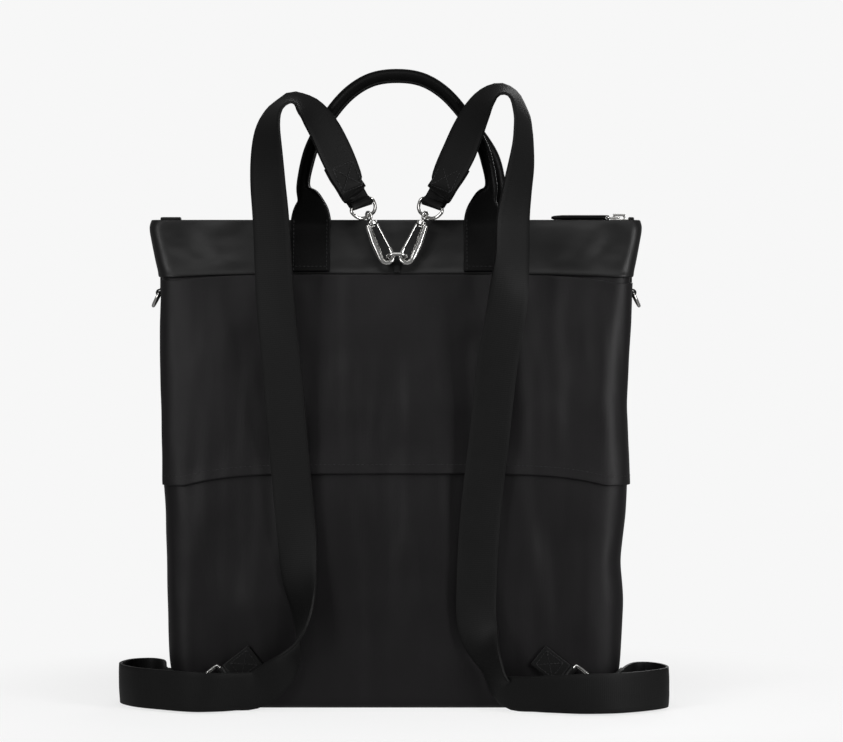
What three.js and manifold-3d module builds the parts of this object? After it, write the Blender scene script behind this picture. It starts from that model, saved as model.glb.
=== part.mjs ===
// A convertible backpack: a soft zip-top bag with two carrying handles, and two flat shoulder straps
// that run from rings at the foot of the back to snap hooks on one ring at the top.
// Millimetres, +Z up. The bag stands on Z = 0 and its back, with the straps, faces -Y.
import * as THREE from "three";
import Module from "manifold-3d";
import { mergeVertices } from "three/addons/utils/BufferGeometryUtils.js";

const wasm = await Module();
wasm.setup();

// Bag
const bagHeight = 353;
const bagWidth = 340;
const bagDepth = 114;
const clothWall = 2;
const baseEdge = 5;
const seamGap = 0.35;
const panelThick = 1.6;
const bandHeight = 37.5;
const bandDip = 2.5;
const bandLip = 1.5;
const sleeveShare = 0.4845;
const sleeveFoot = bagHeight * sleeveShare;
const sleeveDip = 9;
const sleeveTuck = 1.2;

// Handles
const handleSpan = 140;
const handleDrop = 108;
const handleTube = 9.4;
const handleTabWidth = 29;
const handleTabThick = 2.6;
const handleLean = 5;
const handleBow = 7;

// Zip
const zipLength = bagWidth;
const tapeThick = 1;
const chainWidth = 6;
const chainThick = 2.4;
const sliderLength = 13;
const sliderWidth = 9;
const sliderThick = 3.2;
const linkWire = 1.6;
const pullLength = 41;
const pullWidth = 9;
const pullThick = 4.2;
const zipEndThick = 3.2;
const zipEnds = { left: { length: 15, past: 4 }, right: { length: 4, past: 4.4 } };

// Rings and hooks
const ringWire = 2.8;
const ringInside = 20;
const ringReach = 11;
const ringCorner = 2.4;
const ringFlat = 0.3;
const sideRingInside = 15;
const sideRingReach = 11;
const sideTabClearance = 0.8;
const centreRingInside = 11;
const centreRingReach = 12;
const centreTabWidth = 4.4;
const centreRingDrop = 28;
const centreRingHeight = bagHeight - centreRingDrop;
const hookReach = 34;
const hookWire = 4.2;
const hookFlat = 0.85;
const hookBend = 4.6;
const hookNeck = 0.72;
const bossRadius = 3.5;
const bossHeight = 3;
const eyeBend = 3.1;
const eyeWire = 2;
const postWire = 2;
const headRadius = 1.7;
const headHeight = 1.2;
const gateWire = 1.8;
const runGap = 0.3;
const tabThick = 1.2;
const tabWidth = 17.5;
const tabLength = 26;
const baseRingAcross = 123;
const baseRingHeight = 23.5;
const baseRingTurn = 38;
const sideRingDrop = 52;
const sideRingHeight = bagHeight - sideRingDrop;

// Straps
const strapWidth = 29;
const strapThick = 2;
const strapEndWidth = 18;
const floorGap = 0.4;

// Rows of the bag from its base up. up is a share of bagHeight, left and right are shares of half
// bagWidth, and deep, belly, round and fold are shares of half bagDepth.
const bagRows = [
  { up: 0.014, left: 0.95, right: 0.94, deep: 0.965, belly: 0, round: 0.28, fold: 0 },
  { up: 0.1, left: 0.978, right: 0.962, deep: 1, belly: 0.02, round: 0.3, fold: 0 },
  { up: 0.22, left: 0.986, right: 0.973, deep: 1, belly: 0.05, round: 0.3, fold: 0.02 },
  { up: 0.3, left: 0.988, right: 0.96, deep: 0.985, belly: 0.06, round: 0.3, fold: 0.04 },
  { up: 0.4, left: 0.991, right: 0.983, deep: 0.95, belly: 0.06, round: 0.3, fold: 0.06 },
  { up: 0.465, left: 1.003, right: 0.99, deep: 0.92, belly: 0.05, round: 0.28, fold: 0.08 },
  { up: 0.62, left: 1.01, right: 0.981, deep: 0.81, belly: 0.05, round: 0.26, fold: 0.1 },
  { up: 0.79, left: 1.016, right: 0.998, deep: 0.62, belly: 0.03, round: 0.22, fold: 0.08 },
  { up: 0.88, left: 1.01, right: 1.002, deep: 0.48, belly: 0.02, round: 0.18, fold: 0.04 },
  { up: 0.91, left: 1.026, right: 1.018, deep: 0.41, belly: 0.02, round: 0.16, fold: 0.03 },
  { up: 0.945, left: 1.042, right: 1.032, deep: 0.34, belly: 0.01, round: 0.14, fold: 0.02 },
  { up: 0.99, left: 1.061, right: 1.05, deep: 0.27, belly: 0, round: 0.12, fold: 0.01 },
  { up: 1, left: 1.052, right: 1.042, deep: 0.25, belly: 0, round: 0.12, fold: 0.01 },
];

// Rows of half an arch of a handle above the bag. across is a share of half handleSpan, up of
// handleDrop, width and thick of handleTube.
const archRows = [
  { across: 0.93, up: 0.16, width: 1.9, thick: 0.6 },
  { across: 0.985, up: 0.245, width: 1.02, thick: 0.95 },
  { across: 0.94, up: 0.41, width: 1, thick: 1 },
  { across: 0.87, up: 0.54, width: 1, thick: 1 },
  { across: 0.72, up: 0.71, width: 1, thick: 1 },
  { across: 0.51, up: 0.87, width: 1, thick: 1 },
  { across: 0.27, up: 0.966, width: 1, thick: 1 },
  { across: 0, up: 0.992, width: 1, thick: 1 },
];

// Rows of each strap from its upper ring to its lower one. across is a share of half bagWidth
// outward, out of half bagDepth behind the back, up of bagHeight, and width of strapWidth. turn and
// tip are the angles of the strap's breadth, in degrees, about the vertical and above the level.
const strapRows = {
  left: [
    { across: 0.189, out: 0.71, up: 1.066, turn: 139, tip: 24, width: 0.79 },
    { across: 0.219, out: 0.72, up: 1.099, turn: 140, tip: 24, width: 0.95 },
    { across: 0.261, out: 0.74, up: 1.144, turn: 140, tip: 24, width: 1.0 },
    { across: 0.308, out: 0.78, up: 1.19, turn: 135, tip: 22, width: 1.0 },
    { across: 0.358, out: 0.82, up: 1.224, turn: 125, tip: 20, width: 1.0 },
    { across: 0.403, out: 0.86, up: 1.242, turn: 112, tip: 17, width: 1.0 },
    { across: 0.447, out: 0.9, up: 1.252, turn: 100, tip: 14, width: 1.0 },
    { across: 0.494, out: 0.95, up: 1.243, turn: 86, tip: 12, width: 1.0 },
    { across: 0.526, out: 1, up: 1.226, turn: 70, tip: 8, width: 1.0 },
    { across: 0.547, out: 1.035, up: 1.192, turn: 54, tip: 4, width: 1.0 },
    { across: 0.552, out: 1.06, up: 1.144, turn: 40, tip: 0, width: 1.0 },
    { across: 0.547, out: 1.08, up: 1.083, turn: 29, tip: 0, width: 1.0 },
    { across: 0.533, out: 1.09, up: 1.003, turn: 24, tip: 0, width: 1.0 },
    { across: 0.514, out: 1.1, up: 0.836, turn: 18, tip: 0, width: 1.0 },
    { across: 0.481, out: 1.11, up: 0.67, turn: 14, tip: 0, width: 1.0 },
    { across: 0.449, out: 1.12, up: 0.486, turn: 12, tip: 0, width: 1.0 },
    { across: 0.425, out: 1.14, up: 0.363, turn: 14, tip: 0, width: 1.0 },
    { across: 0.414, out: 1.18, up: 0.281, turn: 28, tip: 0, width: 1.0 },
    { across: 0.4, out: 1.27, up: 0.213, turn: 57, tip: -5, width: 1.0 },
    { across: 0.41, out: 1.33, up: 0.161, turn: 76, tip: -18, width: 1.0 },
    { across: 0.447, out: 1.33, up: 0.117, turn: 88, tip: -42, width: 1.0 },
    { across: 0.512, out: 1.28, up: 0.075, turn: 94, tip: -62, width: 1.0 },
    { across: 0.594, out: 1.27, up: 0.045, turn: 94, tip: -72, width: 1.0 },
    { across: 0.676, out: 1.38, up: 0.04, turn: 90, tip: -70, width: 1.0 },
    { across: 0.782, out: 1.54, up: 0.04, turn: 90, tip: -78, width: 1.0 },
    { across: 0.876, out: 1.52, up: 0.04, turn: 90, tip: -86, width: 1.0 },
    { across: 0.988, out: 1.31, up: 0.04, turn: 90, tip: -88, width: 1.0 },
    { across: 1.118, out: 1, up: 0.04, turn: 90, tip: -88, width: 1.0 },
    { across: 1.19, out: 0.56, up: 0.04, turn: 90, tip: -88, width: 1.0 },
    { across: 1.16, out: 0.1, up: 0.04, turn: 90, tip: -88, width: 1.0 },
    { across: 1.076, out: -0.05, up: 0.042, turn: 90, tip: -88, width: 1.0 },
    { across: 1.018, out: 0.12, up: 0.044, turn: 90, tip: -88, width: 1.0 },
    { across: 1.0, out: 0.42, up: 0.044, turn: 90, tip: -88, width: 1.0 },
    { across: 0.994, out: 0.76, up: 0.043, turn: 90, tip: -88, width: 0.97 },
    { across: 0.953, out: 1.03, up: 0.04, turn: 90, tip: -84, width: 0.88 },
    { across: 0.888, out: 1.11, up: 0.036, turn: 90, tip: -72, width: 0.76 },
  ],
  right: [
    { across: 0.189, out: 0.71, up: 1.066, turn: 139, tip: 24, width: 0.79 },
    { across: 0.225, out: 0.72, up: 1.103, turn: 140, tip: 24, width: 0.95 },
    { across: 0.267, out: 0.74, up: 1.144, turn: 140, tip: 24, width: 1.0 },
    { across: 0.302, out: 0.77, up: 1.185, turn: 136, tip: 22, width: 1.0 },
    { across: 0.343, out: 0.81, up: 1.226, turn: 126, tip: 20, width: 1.0 },
    { across: 0.39, out: 0.86, up: 1.256, turn: 112, tip: 17, width: 1.0 },
    { across: 0.447, out: 0.91, up: 1.27, turn: 98, tip: 14, width: 1.0 },
    { across: 0.5, out: 0.95, up: 1.259, turn: 84, tip: 12, width: 1.0 },
    { across: 0.531, out: 1, up: 1.222, turn: 70, tip: 6, width: 1.0 },
    { across: 0.537, out: 1.03, up: 1.192, turn: 64, tip: 3, width: 1.0 },
    { across: 0.536, out: 1.06, up: 1.157, turn: 59, tip: 0, width: 1.0 },
    { across: 0.527, out: 1.08, up: 1.113, turn: 51, tip: 0, width: 1.0 },
    { across: 0.509, out: 1.09, up: 1.058, turn: 44, tip: 0, width: 1.0 },
    { across: 0.494, out: 1.1, up: 1.003, turn: 37, tip: 0, width: 1.0 },
    { across: 0.49, out: 1.11, up: 0.924, turn: 33, tip: 0, width: 1.0 },
    { across: 0.466, out: 1.11, up: 0.821, turn: 6, tip: 0, width: 1.0 },
    { across: 0.428, out: 1.11, up: 0.708, turn: 0, tip: 0, width: 1.0 },
    { across: 0.394, out: 1.11, up: 0.56, turn: 0, tip: 0, width: 1.0 },
    { across: 0.372, out: 1.12, up: 0.472, turn: 0, tip: 0, width: 1.0 },
    { across: 0.349, out: 1.13, up: 0.359, turn: 0, tip: 0, width: 1.0 },
    { across: 0.339, out: 1.15, up: 0.244, turn: 0, tip: 0, width: 1.0 },
    { across: 0.339, out: 1.17, up: 0.194, turn: -8, tip: 2, width: 1.0 },
    { across: 0.35, out: 1.2, up: 0.158, turn: -20, tip: 5, width: 1.0 },
    { across: 0.374, out: 1.25, up: 0.123, turn: -44, tip: 17, width: 1.0 },
    { across: 0.402, out: 1.28, up: 0.093, turn: -62, tip: 24, width: 1.0 },
    { across: 0.425, out: 1.28, up: 0.065, turn: -71, tip: 33, width: 1.0 },
    { across: 0.465, out: 1.3, up: 0.04, turn: -85, tip: 56, width: 1.0 },
    { across: 0.571, out: 1.52, up: 0.04, turn: -90, tip: 61, width: 1.0 },
    { across: 0.676, out: 1.67, up: 0.041, turn: -90, tip: 72, width: 1.0 },
    { across: 0.812, out: 1.73, up: 0.041, turn: -90, tip: 86, width: 1.0 },
    { across: 0.947, out: 1.64, up: 0.041, turn: -90, tip: 88, width: 1.0 },
    { across: 1.085, out: 1.34, up: 0.041, turn: -90, tip: 88, width: 1.0 },
    { across: 1.155, out: 1.02, up: 0.041, turn: -90, tip: 88, width: 1.0 },
    { across: 1.14, out: 0.65, up: 0.042, turn: -90, tip: 88, width: 1.0 },
    { across: 1.085, out: 0.42, up: 0.044, turn: -90, tip: 88, width: 1.0 },
    { across: 1.024, out: 0.46, up: 0.044, turn: -90, tip: 88, width: 1.0 },
    { across: 0.985, out: 0.73, up: 0.043, turn: -90, tip: 88, width: 0.97 },
    { across: 0.95, out: 1.02, up: 0.04, turn: -90, tip: 84, width: 0.88 },
    { across: 0.888, out: 1.11, up: 0.036, turn: -90, tip: 72, width: 0.76 },
  ],
};

const vec = (x, y, z) => new THREE.Vector3(x, y, z);
const mix = (a, b, t) => a + (b - a) * t;
const degrees = THREE.MathUtils.degToRad;

// Materials
const cloth = { color: 0x1f1e20, roughness: 0.62, metalness: 0 };
const strapCloth = { color: 0x1c1b1d, roughness: 0.58, metalness: 0 };
const leather = { color: 0x161516, roughness: 0.45, metalness: 0 };
const zipCloth = { color: 0x131314, roughness: 0.8, metalness: 0 };
const nickel = { color: 0xb9bbbd, roughness: 0.22, metalness: 1 };

function piece(name, geometry, look) {
  geometry.computeVertexNormals();
  const mesh = new THREE.Mesh(geometry, new THREE.MeshStandardMaterial(look));
  mesh.name = name;
  return mesh;
}

// Joining and cutting closed geometries
function solidOf(geometry) {
  const bare = geometry.clone();
  bare.deleteAttribute("normal");
  bare.deleteAttribute("uv");
  const merged = mergeVertices(bare, 1e-4);
  return new wasm.Manifold(
    new wasm.Mesh({
      numProp: 3,
      vertProperties: merged.attributes.position.array,
      triVerts: new Uint32Array(merged.index.array),
    }),
  );
}

function geometryOf(solid) {
  const mesh = solid.getMesh();
  return new THREE.BufferGeometry()
    .setAttribute("position", new THREE.BufferAttribute(mesh.vertProperties, mesh.numProp))
    .setIndex(new THREE.BufferAttribute(mesh.triVerts, 1));
}

function join(...geometries) {
  return geometryOf(geometries.map(solidOf).reduce((whole, next) => whole.add(next)));
}

function cut(geometry, ...tools) {
  return geometryOf(tools.map(solidOf).reduce((whole, tool) => whole.subtract(tool), solidOf(geometry)));
}

// The triangles that close a flat or nearly flat ring of points, facing its right-hand side
function lid(ring) {
  const normal = vec(0, 0, 0);
  ring.forEach((point, i) => normal.add(vec(0, 0, 0).crossVectors(point, ring[(i + 1) % ring.length])));
  normal.normalize();
  const across = ring[1].clone().sub(ring[0]);
  across.addScaledVector(normal, -across.dot(normal)).normalize();
  const along = vec(0, 0, 0).crossVectors(normal, across);
  const flat = ring.map((point) => new THREE.Vector2(point.dot(across), point.dot(along)));
  return THREE.ShapeUtils.triangulateShape(flat, []);
}

// A closed skin over rings of points with equal counts, each turning right-handed about the way on.
// Open rows get a lid at both ends, and a joined row closes on its first ring.
// Each four-sided patch is split along its shorter diagonal.
function loft(rings, joined = false) {
  const count = rings[0].length;
  const points = rings.flat();
  const index = [];
  const spans = joined ? rings.length : rings.length - 1;
  for (let i = 0; i < spans; i++) {
    const near = i * count;
    const far = ((i + 1) % rings.length) * count;
    for (let j = 0; j < count; j++) {
      const next = (j + 1) % count;
      const rising = points[near + j].distanceTo(points[far + next]);
      const falling = points[near + next].distanceTo(points[far + j]);
      if (rising < falling) index.push(near + j, near + next, far + next, near + j, far + next, far + j);
      else index.push(near + j, near + next, far + j, near + next, far + next, far + j);
    }
  }
  if (!joined) {
    const last = (rings.length - 1) * count;
    for (const [a, b, c] of lid(rings[0])) index.push(a, c, b);
    for (const [a, b, c] of lid(rings.at(-1))) index.push(last + a, last + b, last + c);
  }
  const positions = points.flatMap((point) => [point.x, point.y, point.z]);
  return new THREE.BufferGeometry()
    .setAttribute("position", new THREE.Float32BufferAttribute(positions, 3))
    .setIndex(index);
}

// An oval ring of points about a centre
function oval(centre, across, normal, width, thick, sides = 6) {
  return Array.from({ length: sides }, (_, i) => {
    const angle = ((i + 0.5) / sides) * 2 * Math.PI;
    return centre
      .clone()
      .addScaledVector(across, (width / 2) * Math.cos(angle))
      .addScaledVector(normal, (thick / 2) * Math.sin(angle));
  });
}

// Bag: the outline at any height
const panelSteps = 10;
const cornerSteps = 3;
const sideSteps = 4;

function bagSizes(z) {
  const heights = bagRows.map((row) => row.up * bagHeight);
  let i = heights.findIndex((height) => height > z);
  if (i < 0) i = heights.length - 1;
  i = Math.max(i, 1);
  const share = THREE.MathUtils.clamp((z - heights[i - 1]) / (heights[i] - heights[i - 1]), 0, 1);
  const at = (key) => mix(bagRows[i - 1][key], bagRows[i][key], share);
  const halfDepth = bagDepth / 2;
  return {
    left: (at("left") * bagWidth) / 2,
    right: (at("right") * bagWidth) / 2,
    deep: at("deep") * halfDepth,
    belly: at("belly") * halfDepth,
    round: at("round") * halfDepth,
    fold: at("fold") * halfDepth,
  };
}

// Places on the outline, counted from the left end of the back: the corner-free stretch that each
// is on (cx, cy) and the way it faces (nx, ny)
const outline = [];
for (let quarter = 0; quarter < 4; quarter++) {
  const steps = quarter % 2 ? sideSteps : panelSteps;
  const facing = (quarter - 1) * (Math.PI / 2);
  const nx = Math.round(Math.cos(facing));
  const ny = Math.round(Math.sin(facing));
  for (let i = 0; i < steps; i++) {
    const along = mix(-1, 1, i / steps);
    outline.push({ cx: ny ? -ny * along : nx, cy: nx ? nx * along : ny, nx, ny });
  }
  for (let i = 0; i < cornerSteps; i++) {
    const angle = facing + (i / cornerSteps) * (Math.PI / 2);
    const cx = Math.sign(Math.cos(facing + Math.PI / 4));
    const cy = Math.sign(Math.sin(facing + Math.PI / 4));
    outline.push({ cx, cy, nx: Math.cos(angle), ny: Math.sin(angle) });
  }
}

function onBag({ cx, cy, nx, ny }, z, offset) {
  const size = bagSizes(z);
  const half = cx < 0 ? size.left : size.right;
  const round = size.round;
  const folded = nx * size.fold * (1 - cy * cy) ** 2;
  const bellied = ny * size.belly * (1 - cx * cx);
  return vec(
    cx * (half - round) + (round + offset) * nx - folded,
    cy * (size.deep - round) + (round + offset) * ny + bellied,
    z,
  );
}

const bagRing = (z, offset) => outline.map((place) => onBag(place, z, offset));

// How far behind the middle plane the back lies at a place across it
function backDepth(x, z) {
  const size = bagSizes(z);
  const half = (x < 0 ? size.left : size.right) - size.round;
  const cx = THREE.MathUtils.clamp(x / half, -1, 1);
  return size.deep + size.belly * (1 - cx * cx);
}

// How far out the side wall lies at a place across the gusset
function sideWall(sign, y, z) {
  const size = bagSizes(z);
  const cy = Math.min(1, Math.abs(y) / (size.deep - size.round));
  return (sign < 0 ? size.left : size.right) - size.fold * (1 - cy * cy) ** 2;
}

function bodyShell() {
  const heights = bagRows.slice(1).map((row) => row.up * bagHeight);
  const inside = heights.filter((z) => z > clothWall + baseEdge);
  return loft([
    bagRing(0, -baseEdge),
    bagRing(baseEdge * 0.3, -baseEdge * 0.3),
    bagRing(baseEdge, 0),
    ...heights.map((z) => bagRing(z, 0)),
    ...inside.reverse().map((z) => bagRing(z, -clothWall)),
    bagRing(clothWall + baseEdge, -clothWall),
    bagRing(clothWall, -clothWall - baseEdge),
  ]);
}

// Band and sleeve over the bag
const bandOffset = seamGap + panelThick;
const bandFoot = bagHeight - bandHeight;
const sideShare = (cx) => Math.abs(cx) ** 5;
const bandFootAt = (place) => bandFoot - bandDip * sideShare(place.cx);

// Heights from a foot to a head, through every row of the bag that lies between lowest and highest
function heightsUp(foot, head, lowest, highest) {
  const step = 0.2;
  const rows = bagRows.map((row) => row.up * bagHeight).filter((z) => z > lowest && z < highest);
  const between = rows.map((z, i) =>
    THREE.MathUtils.clamp(z, foot + step * (i + 1), head - step * (rows.length - i)),
  );
  return [foot, ...between, head];
}

function topBand() {
  const head = bagHeight + bandLip;
  const columns = outline.map((place) => heightsUp(bandFootAt(place), head, bandFoot - bandDip, head));
  const ring = (level, offset) => outline.map((place, i) => onBag(place, columns[i][level], offset));
  const levels = columns[0].map((_, level) => level);
  const outer = levels.map((level) => ring(level, bandOffset));
  const inner = levels.map((level) => ring(level, seamGap)).reverse();
  return loft([...outer, ...inner], true);
}

function backSleeve() {
  const first = panelSteps + cornerSteps;
  const left = outline.slice(-cornerSteps);
  const places = [...left, ...outline.slice(0, first + 1)];
  const rings = places.map((place) => {
    const foot = sleeveFoot - sleeveDip * sideShare(place.cx);
    const head = bandFootAt(place) - sleeveTuck - (place.cx > 0 ? 4 : 2) * sideShare(place.cx);
    const heights = heightsUp(foot, head, sleeveFoot - sleeveDip, bandFoot);
    const inner = heights.map((z) => onBag(place, z, seamGap));
    const outer = heights.map((z) => onBag(place, z, bandOffset)).reverse();
    return [...inner, ...outer];
  });
  return loft(rings);
}

// Zip
const zipTop = bagHeight - 1;
const chainTop = zipTop - 0.6;

function bar(length, width, thick) {
  const edge = Math.min(width, thick) * 0.25;
  const shape = new THREE.Shape();
  shape.moveTo(-width / 2 + edge, -thick / 2);
  shape.lineTo(width / 2 - edge, -thick / 2);
  shape.lineTo(width / 2, -thick / 2 + edge);
  shape.lineTo(width / 2, thick / 2 - edge);
  shape.lineTo(width / 2 - edge, thick / 2);
  shape.lineTo(-width / 2 + edge, thick / 2);
  shape.lineTo(-width / 2, thick / 2 - edge);
  shape.lineTo(-width / 2, -thick / 2 + edge);
  return new THREE.ExtrudeGeometry(shape, { depth: length, bevelEnabled: false })
    .translate(0, 0, -length / 2)
    .rotateZ(Math.PI / 2)
    .rotateY(Math.PI / 2);
}

// A closed wire in the XY plane: sharp corners at its near side, wider ones at its far side
function wireLoop({ inside, reach, wire, near, far }) {
  const halfWidth = (inside + wire) / 2;
  const corners = [
    { x: halfWidth, y: 0, radius: near, from: -90 },
    { x: halfWidth, y: reach, radius: far, from: 0 },
    { x: -halfWidth, y: reach, radius: far, from: 90 },
    { x: -halfWidth, y: 0, radius: near, from: 180 },
  ];
  const rings = corners.flatMap(({ x, y, radius, from }) => {
    const steps = radius > wire * 1.5 ? 5 : 2;
    const middle = vec(x - Math.sign(x) * radius, y + (y ? -radius : radius), 0);
    return Array.from({ length: steps + 1 }, (_, i) => {
      const angle = degrees(from + (90 * i) / steps);
      const outward = vec(Math.cos(angle), Math.sin(angle), 0);
      const centre = middle.clone().addScaledVector(outward, radius);
      return oval(centre, outward.negate(), vec(0, 0, 1), wire, wire);
    });
  });
  return loft(rings, true);
}

function zipParts(group) {
  const tapeWidth = bagDepth / 2 * bagRows.at(-1).deep - clothWall - seamGap - chainWidth / 2;
    for (const [name, side] of [["back", -1], ["front", 1]]) {
    const tape = piece(`zip_tape_${name}`, bar(zipLength, tapeWidth - seamGap, tapeThick), zipCloth);
    tape.position.set(0, side * (chainWidth / 2 + seamGap / 2 + tapeWidth / 2), zipTop - chainThick);
    group.add(tape);
  }
  const chain = piece("zip_chain", bar(zipLength, chainWidth - seamGap, chainThick), zipCloth);
  chain.position.z = chainTop - chainThick / 2;
  group.add(chain);
  for (const [name, side] of [["left", -1], ["right", 1]]) {
    const { length, past } = zipEnds[name];
    const end = piece(`zip_end_${name}`, bar(length, chainWidth * 2, zipEndThick), cloth);
    end.position.set(side * (zipLength / 2 - length / 2 + past), 0, bagHeight + seamGap + zipEndThick / 2);
    group.add(end);
  }
}

function zipSlider(group) {
  const { length: endLength, past } = zipEnds.right;
  const middle = zipLength / 2 + past - endLength - seamGap - sliderLength / 2;
  const floor = chainTop + seamGap;
  const top = floor + sliderThick;
  const bailHeight = linkWire + 2 * runGap;
  const plate = bar(sliderLength, sliderWidth, sliderThick).translate(0, 0, floor + sliderThick / 2);
  const bailLength = sliderLength * 0.7;
  const bail = bar(bailLength, 2.6, bailHeight + linkWire + 0.4).translate(0, 0, top + (bailHeight + linkWire) / 2);
  const window = bar(bailLength - 2 * linkWire, sliderWidth, bailHeight).translate(0, 0, top + bailHeight / 2);
  const slider = piece("zip_slider", join(plate, cut(bail, window)), nickel);
  slider.position.x = middle;
  const linkReach = 9;
  const linkHeight = top + runGap + linkWire / 2;
  const linkGeometry = wireLoop({ inside: 4.4, reach: linkReach, wire: linkWire, near: 1.2, far: 1.8 });
  const link = piece("zip_link", linkGeometry.rotateZ(Math.PI / 2), nickel);
  link.position.set(middle, 0, linkHeight);
  const pull = piece("zip_pull", zipPull(), leather);
  pull.position.set(middle - linkReach, 0, linkHeight);
  group.add(slider, link, pull);
}

// The leather pull, from its eye round the link along -X
function zipPull() {
  const hole = linkWire / 2 + runGap;
  const rows = [
    { along: 0.02, width: 0.4, thick: 0.9 },
    { along: 0.12, width: 0.75, thick: 1 },
    { along: 0.3, width: 1, thick: 1 },
    { along: 0.8, width: 1, thick: 1 },
    { along: 0.95, width: 0.7, thick: 0.75 },
    { along: 1, width: 0.35, thick: 0.4 },
  ];
  const rings = rows.map(({ along, width, thick }) => {
    const centre = vec(mix(hole + 1.5, -pullLength, along), 0, 0);
    return oval(centre, vec(0, -1, 0), vec(0, 0, 1), width * pullWidth, thick * pullThick, 10);
  });
  const body = loft(rings);
  const bore = new THREE.CylinderGeometry(hole, hole, pullWidth * 2, 12);
  return cut(body, bore);
}

// Handles
function handleGeometry(bow) {
  const bowed = (up) => bow * (1 - THREE.MathUtils.smoothstep(up, 0.35, 0.8));
  const tabRows = [1, 0.72, 0.45, 0.18, -0.02].map((down) => {
    const z = bagHeight - down * (bandHeight - 1.5);
    const x = (handleSpan / 2) * 0.905;
    const depth = backDepth(x, z) + bandOffset + seamGap + handleTabThick / 2;
    return { x, z, y: -depth, width: handleTabWidth, thick: handleTabThick };
  });
  const foot = tabRows.at(-1);
  const arch = archRows.map(({ across, up, width, thick }) => ({
    x: (across * handleSpan) / 2,
    z: bagHeight + up * handleDrop,
    y: foot.y - handleLean * up,
    width: width * handleTube,
    thick: thick * handleTube,
  }));
  const shoulder = {
    x: (handleSpan / 2) * 0.91,
    z: bagHeight + 0.085 * handleDrop,
    y: foot.y - handleLean * 0.085,
    width: handleTabWidth * 0.88,
    thick: handleTabThick * 1.35,
  };
  const leg = [...tabRows, shoulder, ...arch];
  const other = leg.slice(0, -1).reverse().map((row) => ({
    ...row,
    x: -row.x - bowed((row.z - bagHeight) / handleDrop),
  }));
  const rows = [...leg, ...other];
  const path = new THREE.CatmullRomCurve3(rows.map(({ x, y, z }) => vec(x, y, z)), false, "centripetal");
  const steps = (rows.length - 1) * 2;
  const rings = Array.from({ length: steps + 1 }, (_, i) => {
    const here = (i / steps) * (rows.length - 1);
    const row = Math.min(Math.floor(here), rows.length - 2);
    const share = here - row;
    const along = path.getTangent(i / steps);
    const normal = vec(0, 1, 0);
    normal.addScaledVector(along, -normal.dot(along)).normalize();
    const across = vec(0, 0, 0).crossVectors(normal, along);
    const width = mix(rows[row].width, rows[row + 1].width, share);
    const thick = mix(rows[row].thick, rows[row + 1].thick, share);
    return oval(path.getPoint(i / steps), across, normal, width, thick, 8);
  });
  return loft(rings);
}

// A doubled strip sewn round a wire: its eye at the origin about X, its tail along -Y. low is the
// height of the tail's lower face.
function loopTab({ width, tail, thick, hole, low }) {
  const outer = hole + thick;
  const turned = (radius, length) =>
    new THREE.CylinderGeometry(radius, radius, length, 14).rotateZ(Math.PI / 2);
  const strip = new THREE.BoxGeometry(width, tail, 2 * thick).translate(0, -tail / 2, low + thick);
  return cut(join(turned(outer, width), strip), turned(hole, width * 2));
}

// A matrix that sends Y along a direction and Z as near as it can to a facing
function placed(origin, along, facing) {
  const y = along.clone().normalize();
  const z = facing.clone().addScaledVector(y, -facing.dot(y)).normalize();
  const x = vec(0, 0, 0).crossVectors(y, z);
  return new THREE.Matrix4().makeBasis(x, y, z).setPosition(origin);
}

const ringHole = ringWire / 2 + runGap;
const tabRise = ringHole + tabThick;

// Centre ring: it stands out from the foot of the band and is a little raised
const bandBack = backDepth(0, centreRingHeight) + bandOffset + seamGap;
const centreRingAt = vec(0, -(bandBack + tabRise), centreRingHeight);
const centreRingWay = vec(0, -Math.cos(degrees(24)), Math.sin(degrees(24)));

function centreRing(group) {
  const shape = { inside: centreRingInside, reach: centreRingReach, wire: ringWire, near: 3, far: 5 };
  const ring = piece("centre_ring", wireLoop(shape), nickel);
  ring.applyMatrix4(placed(centreRingAt, centreRingWay, vec(0, 0, 1)));
  const tail = centreRingHeight - bandFoot - seamGap;
  const slope = (backDepth(0, bandFoot) - backDepth(0, centreRingHeight)) / tail;
  const tab = { width: centreTabWidth, tail, thick: tabThick, hole: ringHole, low: -tabRise };
  const strip = piece("centre_ring_tab", loopTab(tab), cloth);
  strip.applyMatrix4(placed(centreRingAt, vec(0, slope, 1), vec(0, -1, 0)));
  group.add(ring, strip);
}

// Everything below is built for the right side, with +X outward, and mirrored for the left
const sideRingWay = vec(0.5, 0, -1).normalize();
function sideRing(group, side) {
  const tabHalf = (sideRingInside - 1.5) / 2;
  const tail = bandFoot - bandDip - sideRingHeight - seamGap;
  const walls = [0, tail / 2, tail].map((up) => sideWall(side.sign, tabHalf, sideRingHeight + up));
  const eye = vec(Math.max(...walls) + seamGap + sideTabClearance + tabRise, 0, sideRingHeight);
  const shape = {
    inside: sideRingInside,
    reach: sideRingReach,
    wire: ringWire,
    near: 2.4,
    far: (sideRingInside + ringWire) / 2 - 0.3,
  };
  const ring = piece(`side_ring_${side.name}`, wireLoop(shape), nickel);
  ring.applyMatrix4(placed(eye, sideRingWay, vec(1, 0, 0)));
  const tab = {
    width: 2 * tabHalf,
    tail,
    thick: tabThick,
    hole: ringHole,
    low: -tabRise,
  };
  const strip = piece(`side_ring_tab_${side.name}`, loopTab(tab), cloth);
  strip.applyMatrix4(placed(eye, vec(0, 0, -1), vec(1, 0, 0)));
  group.add(ring, strip);
}

// Base ring: a square ring on the lower corner of the back, turned down and outward
const baseRingLean = 9;
const baseRingWay = vec(
  Math.cos(degrees(baseRingTurn)),
  -Math.sin(degrees(baseRingLean)),
  -Math.sin(degrees(baseRingTurn)),
).normalize();

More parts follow.
